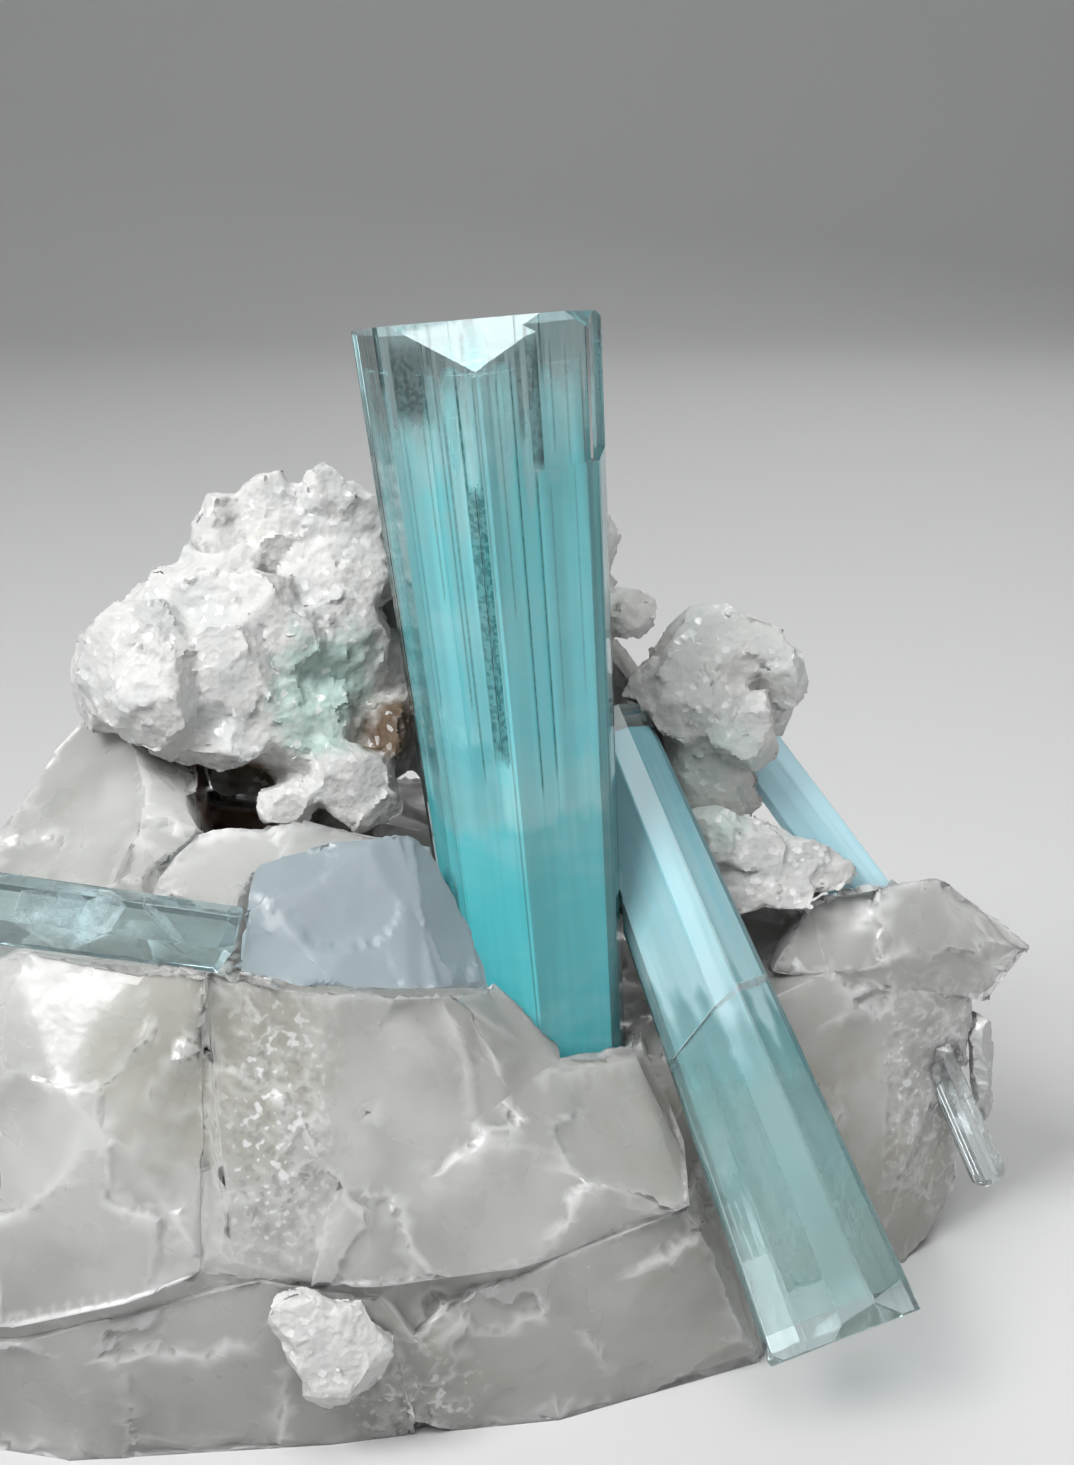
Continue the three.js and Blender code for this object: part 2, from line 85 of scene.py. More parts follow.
class Nodes:
    """A node tree with short calls to add and join its nodes."""

    def __init__(self, tree: bpy.types.NodeTree) -> None:
        """Takes the tree that the nodes go into."""
        self.tree = tree

    def give(self, node: bpy.types.Node, inputs: Inputs) -> None:
        """Sets a node's inputs.

        Args:
            node: the node.
            inputs: a value or an output socket for each input, by name or number.
        """
        for key, value in inputs.items():
            if isinstance(value, bpy.types.NodeSocket):
                self.tree.links.new(value, node.inputs[key])
            else:
                node.inputs[key].default_value = value

    def add(self, kind: str, inputs: Inputs | None = None, **settings: object) -> bpy.types.Node:
        """Adds a node.

        Args:
            kind: the node's Blender type.
            inputs: a value or an output socket for each input that is set.
            settings: properties of the node itself.

        Returns:
            The new node.
        """
        node = self.tree.nodes.new(kind)
        for key, value in settings.items():
            setattr(node, key, value)
        self.give(node, inputs or {})
        return node

    def math(self, operation: str, a: object, b: object = 0.0, clamp: bool = False) -> bpy.types.NodeSocket:
        """The result of one sum on two values or sockets."""
        return self.add("ShaderNodeMath", {0: a, 1: b}, operation=operation, use_clamp=clamp).outputs[0]

    def span(self, value: object, low: float, high: float, to_low: float = 0.0, to_high: float = 1.0,
             kind: str = "SMOOTHSTEP") -> bpy.types.NodeSocket:
        """Moves a value from one range into another and holds it at the ends.

        Args:
            value: a value or socket.
            low: the start of its range.
            high: the end of its range.
            to_low: what the start becomes.
            to_high: what the end becomes.
            kind: how it goes from one to the other.

        Returns:
            The moved value.
        """
        node = self.add("ShaderNodeMapRange", {"Value": value, "From Min": low, "From Max": high,
                                               "To Min": to_low, "To Max": to_high}, interpolation_type=kind)
        return node.outputs["Result"]

    def mix(self, factor: object, a: object, b: object) -> bpy.types.NodeSocket:
        """Mixes two colours.

        Args:
            factor: the share of the second colour, as a value or socket.
            a: the first colour, as numbers or a socket.
            b: the second colour, as numbers or a socket.

        Returns:
            The mixed colour.
        """
        first, second = ((*colour, 1.0) if isinstance(colour, tuple) else colour for colour in (a, b))
        return self.add("ShaderNodeMix", {0: factor, 6: first, 7: second}, data_type="RGBA").outputs[2]

    def place(self, scale: Vec3 = (1.0, 1.0, 1.0),
              tilt: tuple[object, object] = (0.0, 0.0)) -> bpy.types.NodeSocket:
        """Object coordinates in a tilted frame.

        Args:
            scale: how much they are stretched along each axis of that frame.
            tilt: how far the frame is turned about X and Y, in radians, as values or sockets.

        Returns:
            The coordinates.
        """
        node = self.add("ShaderNodeMapping", {
            "Vector": self.add("ShaderNodeTexCoord").outputs["Object"],
            "Rotation": self.add("ShaderNodeCombineXYZ", {0: tilt[0], 1: tilt[1]}).outputs[0],
            "Scale": tuple(1 / share for share in scale),
        }, vector_type="TEXTURE")
        return node.outputs["Vector"]

    def noise(self, vector: bpy.types.NodeSocket, scale: object, detail: float = 4.0,
              rough: float = 0.55) -> bpy.types.NodeSocket:
        """Fractal noise.

        Args:
            vector: the coordinates.
            scale: how many bumps there are to a metre, as a value or socket.
            detail: how many finer layers it has.
            rough: how strong the finer layers are.

        Returns:
            The noise, from 0 to 1.
        """
        inputs = {"Vector": vector, "Scale": scale, "Detail": detail, "Roughness": rough}
        return self.add("ShaderNodeTexNoise", inputs).outputs["Fac"]


def new_group(name: str, inputs: dict[str, float],
              outputs: tuple[str, ...]) -> tuple[Nodes, Sockets, bpy.types.Node]:
    """Starts a shader node group of plain values.

    Args:
        name: the group's name.
        inputs: the default of each input.
        outputs: the names of its outputs.

    Returns:
        Its nodes, the sockets that its inputs come in by, and the node that takes its outputs.
    """
    tree = bpy.data.node_groups.new(name, "ShaderNodeTree")
    for key, default in inputs.items():
        socket = tree.interface.new_socket(name=key, in_out="INPUT", socket_type="NodeSocketFloat")
        socket.default_value = default
    for key in outputs:
        tree.interface.new_socket(name=key, in_out="OUTPUT", socket_type="NodeSocketFloat")
    nodes = Nodes(tree)
    entry = nodes.add("NodeGroupInput")
    return nodes, {key: entry.outputs[key] for key in inputs}, nodes.add("NodeGroupOutput")


class Effects:
    """The surface effects that more than one finish uses, each a node group built once."""

    def __init__(self) -> None:
        """Builds every group."""
        self.striation = self._striation()
        self.cloud = self._cloud()
        self.grain = self._grain()
        self.spot = self._spot()

    def _striation(self) -> bpy.types.NodeTree:
        """Fine lines along a crystal, as growth leaves.

        Returns:
            The group, whose Streak is the lines' colour mask and whose Relief is their height.
        """
        inputs = {"Fine": 900.0, "Broad": 260.0, "TiltX": 0.0, "TiltY": 0.0}
        nodes, given, out = new_group("Striation", inputs, ("Streak", "Relief"))
        lengthwise = nodes.place((1.0, 1.0, 0.03), (given["TiltX"], given["TiltY"]))
        fine = nodes.noise(lengthwise, given["Fine"], 1.0, 0.5)
        broad = nodes.noise(lengthwise, given["Broad"], 1.0, 0.5)
        streak = nodes.span(nodes.math("MULTIPLY", fine, broad), 0.29, 0.20)
        nodes.give(out, {"Streak": streak, "Relief": nodes.math("ADD", fine, broad)})
        return nodes.tree

    def _cloud(self) -> bpy.types.NodeTree:
        """Milky patches.

        Returns:
            The group, whose Milk is highest in the milkiest places.
        """
        nodes, given, out = new_group("Cloud", {"Size": 60.0}, ("Milk",))
        drift = nodes.noise(nodes.place(), given["Size"], 3.0, 0.6)
        nodes.give(out, {"Milk": nodes.span(drift, 0.38, 0.66)})
        return nodes.tree

    def _grain(self) -> bpy.types.NodeTree:
        """A sugary grain.

        Returns:
            The group, whose Relief is the grain's height and whose Speck marks single grains that get a
            painted glint.
        """
        nodes, given, out = new_group("Grain", {"Size": 1400.0}, ("Relief", "Speck"))
        here = nodes.place()
        cells = nodes.add("ShaderNodeTexVoronoi", {"Vector": here, "Scale": given["Size"]}, feature="F1")
        relief = nodes.math("ADD", cells.outputs["Distance"], nodes.noise(here, given["Size"], 1.0, 0.5))
        pick = nodes.add("ShaderNodeSeparateColor", {"Color": cells.outputs["Color"]})
        nodes.give(out, {"Relief": relief, "Speck": nodes.span(pick.outputs[0], 0.90, 0.94)})
        return nodes.tree

    def _spot(self) -> bpy.types.NodeTree:
        """A soft ragged patch round a point.

        Returns:
            The group, whose Mask is one in the patch.
        """
        inputs = {"X": 0.0, "Y": 0.0, "Z": 0.0, "Radius": 0.01, "Ragged": 0.0}
        nodes, given, out = new_group("Spot", inputs, ("Mask",))
        centre = nodes.add("ShaderNodeCombineXYZ", {0: given["X"], 1: given["Y"], 2: given["Z"]}).outputs[0]
        away = nodes.add("ShaderNodeVectorMath", {0: nodes.place(), 1: centre}, operation="DISTANCE")
        share = nodes.math("DIVIDE", away.outputs["Value"], given["Radius"])
        nodes.give(out, {"Mask": nodes.span(nodes.math("ADD", share, given["Ragged"]), 1.1, 0.35)})
        return nodes.tree


def use(nodes: Nodes, tree: bpy.types.NodeTree, **values: object) -> Sockets:
    """Places a node group in a material.

    Args:
        nodes: the material's nodes.
        tree: the group.
        values: a value or socket for each of its inputs, by name.

    Returns:
        Its outputs by name.
    """
    node = nodes.add("ShaderNodeGroup", node_tree=tree)
    nodes.give(node, values)
    return {socket.name: socket for socket in node.outputs}


@dataclass(frozen=True)
class Patch:
    """A soft patch of another tint, with its middle and its radius in millimetres."""

    middle: Vec3
    radius: float
    strength: float
    tint: Rgb


def patched(nodes: Nodes, effects: Effects, colour: bpy.types.NodeSocket,
            patches: tuple[Patch, ...]) -> bpy.types.NodeSocket:
    """Lays ragged patches over a colour.

    Args:
        nodes: the material's nodes.
        effects: the shared effects.
        colour: the colour underneath.
        patches: the patches, from the lowest to the topmost.

    Returns:
        The colour with the patches on it.
    """
    ragged = nodes.span(nodes.noise(nodes.place(), 260.0, 3.0), 0.2, 0.8, -0.45, 0.45, "LINEAR")
    for patch in patches:
        x, y, z = (length * MM for length in patch.middle)
        spot = use(nodes, effects.spot, X=x, Y=y, Z=z, Radius=patch.radius * MM, Ragged=ragged)
        colour = nodes.mix(nodes.math("MULTIPLY", spot["Mask"], patch.strength), colour, patch.tint)
    return colour


def started(name: str) -> tuple[bpy.types.Material, Nodes, bpy.types.Node, bpy.types.Node]:
    """Starts a material.

    Args:
        name: the material's name.

    Returns:
        The material, its nodes, its Principled shader and its output node.
    """
    material = bpy.data.materials.new(name)
    material.use_nodes = True
    material.node_tree.nodes.clear()
    nodes = Nodes(material.node_tree)
    output = nodes.add("ShaderNodeOutputMaterial")
    shader = nodes.add("ShaderNodeBsdfPrincipled")
    nodes.give(output, {"Surface": shader.outputs[0]})
    return material, nodes, shader, output


# Finishes


def shadow_pass(nodes: Nodes, share: float) -> bpy.types.NodeSocket:
    """Alpha that lets light in: solid to the eye, and mostly open to shadow rays."""
    shadow = nodes.add("ShaderNodeLightPath").outputs["Is Shadow Ray"]
    return nodes.math("SUBTRACT", 1.0, nodes.math("MULTIPLY", shadow, share))


@dataclass(frozen=True)
class BerylFinish:
    """See-through beryl.

    The crystal's own attributes say where it is streaked, with dark lines that are partly growth lines and
    partly painted dark reflection, and where it is frosted, rougher and whitened as painted sheen. Fine and
    broad are the scales of its faint lines, and tilt is how its axis is turned, in degrees.
    """

    name: str
    tint: Rgb
    absorb: Rgb
    density: float
    # Dark lines go towards this colour: growth lines, partly painted dark reflection.
    streak_and_dark_reflection_tint: Rgb = (0.0, 0.06, 0.06)
    # Frosted faces are whitened towards this colour as painted sheen.
    frost_and_sheen_tint: Rgb = (0.80, 0.90, 0.93)
    transmission: float = 0.9
    rough: float = 0.03
    frosted_rough: float = 0.38
    fine: float = 900.0
    broad: float = 420.0
    faint: float = 0.12
    tilt: tuple[float, float] = (0.0, 0.0)
    line_relief: float = 0.05
    open_to_light: float = 0.95

    def material(self, effects: Effects) -> bpy.types.Material:
        """Builds the material.

        Args:
            effects: the shared effects.

        Returns:
            The material.
        """
        material, nodes, shader, output = started(self.name)
        lean = [math.radians(angle) for angle in self.tilt]
        lines = use(nodes, effects.striation, Fine=self.fine, Broad=self.broad, TiltX=lean[0], TiltY=lean[1])
        # Dark lines are partly growth lines and partly painted dark reflection; frosted faces are whitened as
        # painted sheen.
        streak = nodes.add("ShaderNodeAttribute", attribute_name="streak").outputs["Fac"]
        frost = nodes.add("ShaderNodeAttribute", attribute_name="frost").outputs["Fac"]
        speckle = nodes.span(nodes.noise(nodes.place(), 1600.0, 1.0), 0.42, 0.60, 0.8, 1.0)
        streak = nodes.math("MULTIPLY", streak, speckle)
        level = math.cos(lean[0])
        axis = (math.sin(lean[1]) * level, -math.sin(lean[0]), math.cos(lean[1]) * level)
        normal = nodes.add("ShaderNodeTexCoord").outputs["Normal"]
        facing = nodes.add("ShaderNodeVectorMath", {0: normal, 1: axis}, operation="DOT_PRODUCT")
        side = nodes.span(nodes.math("ABSOLUTE", facing.outputs["Value"]), 0.55, 0.3)
        faint = nodes.math("MULTIPLY", nodes.math("MULTIPLY", lines["Streak"], self.faint), side)
        colour = nodes.mix(nodes.math("MAXIMUM", streak, faint), self.tint, self.streak_and_dark_reflection_tint)
        height = nodes.math("MULTIPLY", lines["Relief"], side)
        bump = nodes.add("ShaderNodeBump", {
            "Strength": self.line_relief, "Distance": 0.2 * MM, "Height": height})
        # Frosted faces are rougher, and whitened as painted sheen.
        nodes.give(shader, {
            "Base Color": nodes.mix(frost, colour, self.frost_and_sheen_tint),
            "IOR": BERYL_IOR,
            "Transmission Weight": self.transmission,
            "Roughness": nodes.span(frost, 0.0, 1.0, self.rough, self.frosted_rough, "LINEAR"),
            "Normal": bump.outputs[0],
            "Alpha": shadow_pass(nodes, self.open_to_light),
        })
        volume = nodes.add("ShaderNodeVolumeAbsorption", {
            "Color": (*self.absorb, 1.0), "Density": self.density})
        nodes.give(output, {"Volume": volume.outputs[0]})
        return material


@dataclass(frozen=True)
class Stop:
    """The milk at a height above the floor, in millimetres: its tint and how dense it is."""

    height: float
    tint: Rgb
    cover: float


@dataclass(frozen=True)
class CloudFinish:
    """The milky body inside a crystal, with its stops from the lowest to the highest."""

    name: str
    stops: tuple[Stop, ...]
    tilt: tuple[float, float]
    columns: float = 0.5
    milk: Rgb = (0.60, 0.95, 1.0)
    column_tint: Rgb = (0.10, 0.42, 0.46)
    swirl: float = 6.4
    wisp: float = 5.2

    def material(self) -> bpy.types.Material:
        """Builds the material.

        Returns:
            The material.
        """
        material, nodes, shader, _ = started(self.name)
        swirl, wisp = self.swirl * MM, self.wisp * MM
        heights = [stop.height * MM for stop in self.stops]
        along = nodes.place((1.0, 1.0, 0.02), tuple(math.radians(angle) for angle in self.tilt))
        height = nodes.add("ShaderNodeSeparateXYZ", {0: nodes.place()}).outputs["Z"]
        drift = nodes.noise(nodes.place(), 75.0, 3.0, 0.6)
        height = nodes.math("ADD", height, nodes.span(drift, 0.25, 0.75, -swirl, swirl, "LINEAR"))
        wisps = nodes.span(nodes.noise(along, 520.0, 1.0), 0.3, 0.7, -wisp, wisp, "LINEAR")
        upward = nodes.span(height, heights[0], heights[-1])
        height = nodes.math("ADD", height, nodes.math("MULTIPLY", wisps, upward))
        colour, cover = self.stops[0].tint, self.stops[0].cover
        for below, above in zip(self.stops, self.stops[1:]):
            share = nodes.span(height, below.height * MM, above.height * MM)
            colour = nodes.mix(share, colour, above.tint)
            cover = nodes.math("ADD", cover, nodes.math("MULTIPLY", share, above.cover - below.cover))
        dark = nodes.span(nodes.noise(along, 300.0, 1.0), 0.45, 0.62, 0.0, self.columns)
        dark = nodes.math("MULTIPLY", dark, nodes.span(height, heights[1], heights[2]))
        colour = nodes.mix(dark, colour, self.column_tint)
        milk = nodes.span(nodes.noise(nodes.place((0.6, 0.6, 1.6)), 90.0, 3.0, 0.55), 0.42, 0.75, 0.0, 0.3)
        nodes.give(shader, {
            "Base Color": nodes.mix(milk, colour, self.milk),
            "Roughness": 0.6,
            "Specular IOR Level": 0.1,
            "Alpha": nodes.math("MAXIMUM", cover, 0.0, True),
        })
        return material


@dataclass(frozen=True)
class VeilFinish:
    """A thin healed crack or wisp inside a crystal, with ragged holes in it."""

    name: str
    tint: Rgb
    cover: float
    scale: float = 300.0
    low: float = 0.16

    def material(self) -> bpy.types.Material:
        """Builds the material.

        Returns:
            The material.
        """
        material, nodes, shader, _ = started(self.name)
        threads = nodes.noise(nodes.place(), self.scale, 6.0, 0.7)
        patches = nodes.noise(nodes.place(), self.scale * 0.3, 3.0)
        both = nodes.math("MULTIPLY", threads, patches)
        nodes.give(shader, {
            "Base Color": (*self.tint, 1.0),
            "Roughness": 0.4,
            "Alpha": nodes.span(both, self.low, self.low + 0.2, 0.0, self.cover),
        })
        return material


@dataclass(frozen=True)
class QuartzFinish:
    """Milky quartz, glassy where broken: pale and grey zones, tan stains, painted rim highlights, glints and
    shade.
    """

    name: str
    milk: Rgb
    grey: Rgb
    stain: Rgb
    rust: Rgb
    # Shade is the colour of the painted shade towards the bottom and in pits.
    shade: Rgb = (0.40, 0.40, 0.38)
    # Edge is the colour of the painted highlights on sharp rims and of the painted glints.
    edge: Rgb = (0.95, 0.96, 0.96)
    edge_share: float = 0.42
    transmission: float = 0.35
    glow: float = 0.8
    glow_depth: float = 5.0

    def material(self, effects: Effects) -> bpy.types.Material:
        """Builds the material.

        Args:
            effects: the shared effects.

        Returns:
            The material.
        """
        material, nodes, shader, _ = started(self.name)
        cloud = use(nodes, effects.cloud, Size=48.0)
        colour = nodes.mix(cloud["Milk"], self.grey, self.milk)
        colour = patched(nodes, effects, colour, (
            Patch((34.0, -4.0, 16.0), 24.0, 0.5, self.stain),
            Patch((56.0, 8.0, 6.0), 14.0, 0.5, self.stain),
            Patch((-6.0, -29.0, 6.0), 14.0, 0.35, self.stain),
            Patch((-24.0, -30.0, 46.0), 16.0, 0.4, self.stain),
            Patch((-28.0, 9.0, 61.0), 10.0, 1.0, self.rust),
            Patch((-12.0, 8.0, 62.0), 8.0, 0.8, self.stain),
        ))
        # Painted shade: darker towards the bottom.
        height = nodes.add("ShaderNodeSeparateXYZ", {0: nodes.place()}).outputs["Z"]
        colour = nodes.mix(nodes.span(height, 26.0 * MM, 8.0 * MM, 0.0, 0.45), colour, self.shade)
        # Painted highlights along sharp rims, and painted glints in the crumbly places.
        rim = nodes.add("ShaderNodeAttribute", attribute_name="rim").outputs["Fac"]
        bright = nodes.math("MULTIPLY", rim, self.edge_share)
        crumb = nodes.add("ShaderNodeAttribute", attribute_name="crumb").outputs["Fac"]
        flecks = nodes.noise(nodes.place(), 900.0, 1.0, 0.7)
        painted_glint = nodes.math("MULTIPLY", nodes.span(flecks, 0.56, 0.66), crumb)
        colour = nodes.mix(nodes.math("MAXIMUM", bright, painted_glint), colour, self.edge)
        # Painted shade in small pits of the crumbly places.
        painted_pit_shade = nodes.math("MULTIPLY", nodes.span(flecks, 0.42, 0.34, 0.0, 0.7), crumb)
        texture = nodes.noise(nodes.place(), 90.0, 2.0, 0.65)
        ripples = nodes.noise(nodes.place(), 340.0, 2.0, 0.6)
        bump = nodes.add("ShaderNodeBump", {"Strength": 0.3, "Distance": 0.3 * MM, "Height": ripples})
        nodes.give(shader, {
            "Base Color": nodes.mix(painted_pit_shade, colour, self.shade),
            "IOR": QUARTZ_IOR,
            "Transmission Weight": self.transmission,
            "Subsurface Weight": self.glow,
            "Subsurface Radius": (1.0, 1.0, 1.0),
            "Subsurface Scale": self.glow_depth * MM,
            "Roughness": nodes.span(texture, 0.38, 0.66, 0.24, 0.42, "LINEAR"),
            "Normal": bump.outputs[0],
        })
        return material


@dataclass(frozen=True)
class AlbiteFinish:
    """Matt white albite with a sugary grain and painted glints, faint blue-green shade and brown stain in its
    hollow.
    """

    name: str
    white: Rgb
    shade: Rgb
    green: Rgb
    brown: Rgb
    painted_glint: Rgb = (0.85, 0.85, 0.84)

    def material(self, effects: Effects) -> bpy.types.Material:
        """Builds the material.

        Args:
            effects: the shared effects.

        Returns:
            The material.
        """
        material, nodes, shader, _ = started(self.name)
        cloud = use(nodes, effects.cloud, Size=130.0)
        grain = use(nodes, effects.grain, Size=1300.0)
        colour = nodes.mix(cloud["Milk"], self.shade, self.white)
        colour = patched(nodes, effects, colour, (
            Patch((-15.0, 4.0, 74.0), 9.0, 0.8, self.green),
            Patch((27.0, 9.0, 61.0), 9.0, 0.5, self.green),
            Patch((-8.5, 6.0, 69.0), 5.5, 1.0, self.brown),
            Patch((-25.0, 9.0, 64.0), 8.0, 1.0, self.brown),
        ))
        waves = nodes.noise(nodes.place(), 420.0, 3.0, 0.7)
        relief = nodes.math("ADD", nodes.math("MULTIPLY", grain["Relief"], 0.5), waves)
        bump = nodes.add("ShaderNodeBump", {"Strength": 0.5, "Distance": 0.3 * MM, "Height": relief})
        # Single grains get a paler colour as a painted glint, and a lower roughness.
        nodes.give(shader, {
            "Base Color": nodes.mix(nodes.math("MULTIPLY", grain["Speck"], 0.5), colour, self.painted_glint),
            "IOR": ALBITE_IOR,
            "Roughness": nodes.span(grain["Speck"], 0.0, 1.0, 0.62, 0.2, "LINEAR"),
            "Normal": bump.outputs[0],
        })
        return material


# Meshes


def linked(name: str, mesh: bpy.types.Mesh) -> bpy.types.Object:
    """Puts a mesh into the scene at the origin.

    Args:
        name: the object's name.
        mesh: the mesh.

    Returns:
        The object.
    """
    obj = bpy.data.objects.new(name, mesh)
    bpy.context.scene.collection.objects.link(obj)
    return obj


def from_bmesh(name: str, bm: bmesh.types.BMesh) -> bpy.types.Object:
    """Makes an object of a bmesh.

    Args:
        name: the object's name.
        bm: the bmesh, which is freed.

    Returns:
        The object.
    """
    mesh = bpy.data.meshes.new(name)
    bm.to_mesh(mesh)
    bm.free()
    return linked(name, mesh)


def merged_copy(node: str, flat: float) -> bmesh.types.BMesh:
    """A copy of a CAD node's mesh, with its loose triangles merged.

    Args:
        node: the node.
        flat: faces that meet at less than this angle, in degrees, become one.

    Returns:
        The mesh.
    """
    bm = bmesh.new()
    bm.from_mesh(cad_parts[node].data)
    bmesh.ops.remove_doubles(bm, verts=bm.verts, dist=ONE_POINT)
    bmesh.ops.dissolve_limit(bm, angle_limit=math.radians(flat), verts=bm.verts, edges=bm.edges)
    return bm


def triangles_of(node: str) -> bmesh.types.BMesh:
    """A merged copy of a CAD node's mesh, made of triangles.

    Args:
        node: the node.

    Returns:
        The mesh.
    """
    bm = merged_copy(node, 0.4)
    bmesh.ops.triangulate(bm, faces=bm.faces)
    return bm


def split_edges(bm: bmesh.types.BMesh, edges: list[bmesh.types.BMEdge]) -> None:
    """Splits edges in half and keeps the faces triangles.

    Args:
        bm: the mesh.
        edges: the edges to split.
    """
    bmesh.ops.subdivide_edges(bm, edges=edges, cuts=1)
    bmesh.ops.triangulate(bm, faces=[face for face in bm.faces if len(face.verts) > 3])


def refine(bm: bmesh.types.BMesh, longest: float, rounds: int = 9) -> None:
    """Splits edges until none is longer than a length.

    Args:
        bm: the mesh, of triangles.
        longest: the length in metres.
        rounds: the most passes.
    """
    for _ in range(rounds):
        edges = [edge for edge in bm.edges if edge.calc_length() > longest]
        if not edges:
            return
        split_edges(bm, edges)


def remeshed(bm: bmesh.types.BMesh, voxel: float) -> bmesh.types.BMesh:
    """Rebuilds a closed mesh with even faces.

    Args:
        bm: the closed mesh, which is freed.
        voxel: the size of the faces in metres.

    Returns:
        The rebuilt mesh.
    """
    obj = from_bmesh("remesh", bm)
    modifier = obj.modifiers.new("Even faces", "REMESH")
    modifier.mode = "VOXEL"
    modifier.voxel_size = voxel
    return evaluated(obj)


def evaluated(obj: bpy.types.Object) -> bmesh.types.BMesh:
    """The mesh of a scratch object after its modifiers.

    Args:
        obj: the object, which is removed with its mesh.

    Returns:
        The mesh.
    """
    mesh = bpy.data.meshes.new_from_object(obj.evaluated_get(bpy.context.evaluated_depsgraph_get()))
    result = bmesh.new()
    result.from_mesh(mesh)
    old = obj.data
    bpy.data.objects.remove(obj)
    bpy.data.meshes.remove(old)
    bpy.data.meshes.remove(mesh)
    return result


def united(bm: bmesh.types.BMesh, other: bmesh.types.BMesh) -> bmesh.types.BMesh:
    """Joins two closed meshes that overlap.

    Args:
        bm: the first mesh, which is freed.
        other: the second mesh, which is freed.

    Returns:
        One closed mesh, of triangles.
    """
    obj, extra = from_bmesh("whole", bm), from_bmesh("extra", other)
    modifier = obj.modifiers.new("Join", "BOOLEAN")
    modifier.operation = "UNION"
    modifier.solver = "EXACT"
    modifier.object = extra
    result = evaluated(obj)
    old = extra.data
    bpy.data.objects.remove(extra)
    bpy.data.meshes.remove(old)
    bmesh.ops.triangulate(result, faces=result.faces)
    return result


def chopped(bm: bmesh.types.BMesh, point: Vec3 | Vector, normal: Vec3) -> None:
    """Cuts off what lies beyond a plane and closes the cut.

    Args:
        bm: the mesh.
        point: a point of the plane.
        normal: the plane's outward direction.
    """
    everything = bm.verts[:] + bm.edges[:] + bm.faces[:]
    bmesh.ops.bisect_plane(bm, geom=everything, dist=1e-6, plane_co=point, plane_no=normal, clear_outer=True)
    rim = [edge for edge in bm.edges if edge.is_boundary]
    if rim:
        bmesh.ops.holes_fill(bm, edges=rim, sides=0)


def closed_up(bm: bmesh.types.BMesh, reach: float, voxel: float) -> "Surface":
    """Rebuilds a closed mesh with even faces and with its narrow gaps filled.

    Args:
        bm: the closed mesh, which is freed.
        reach: half the width of the widest gap to fill, in metres.
        voxel: the size of the faces in metres.

    Returns:
        The rebuilt mesh as a surface.
    """
    for step in (reach, -reach):
        surface = Surface(remeshed(bm, voxel))
        surface.points += surface.normals * step
        surface.write()
        bm = surface.bm
    surface.read()
    return surface


def lattice(corner: np.ndarray, seed: int) -> np.ndarray:
    """A fixed random number for each whole-numbered place.

    Args:
        corner: the places.
        seed: which numbers.

    Returns:
        A number from -1 to 1 for each place.
    """
    x, y, z = corner.astype(np.int64).T
    mixed = (x * 374761393 + y * 668265263 + z * 1440662683 + seed * 974711) & 0xFFFFFFFF
    mixed = ((mixed ^ (mixed >> 13)) * 1274126177) & 0xFFFFFFFF
    return ((mixed ^ (mixed >> 16)) & 0xFFFF) / 32767.5 - 1.0


def fractal(places: np.ndarray, seed: int, octaves: int = 4) -> np.ndarray:
    """Smooth fractal noise.

    Args:
        places: the points, in units of the largest bumps.
        seed: which noise.
        octaves: how many finer sets of bumps are added up.

    Returns:
        A value from about -1 to 1 for each point.
    """
    total = np.zeros(len(places))
    for octave in range(octaves):
        where = places * 2.03 ** octave + octave * 11.7
        floor = np.floor(where)
        part = where - floor
        ease = part * part * (3.0 - 2.0 * part)
        layer = np.zeros(len(places))
        for i, j, k in np.ndindex(2, 2, 2):
            step = np.array((i, j, k))
            weight = np.prod(np.where(step == 1, ease, 1.0 - ease), axis=1)
            layer += weight * lattice(floor + step, seed + octave)
        total += layer * 0.55 ** octave
    return total * 0.75


@dataclass(frozen=True)
class Facets:
    """Broken faces: their spacing, their tilt in degrees, and how far they cut in or fill out."""

    spacing: float
    tilt: float
    cut: float
    fill: float
    seed: int
    ragged: float = 1.0


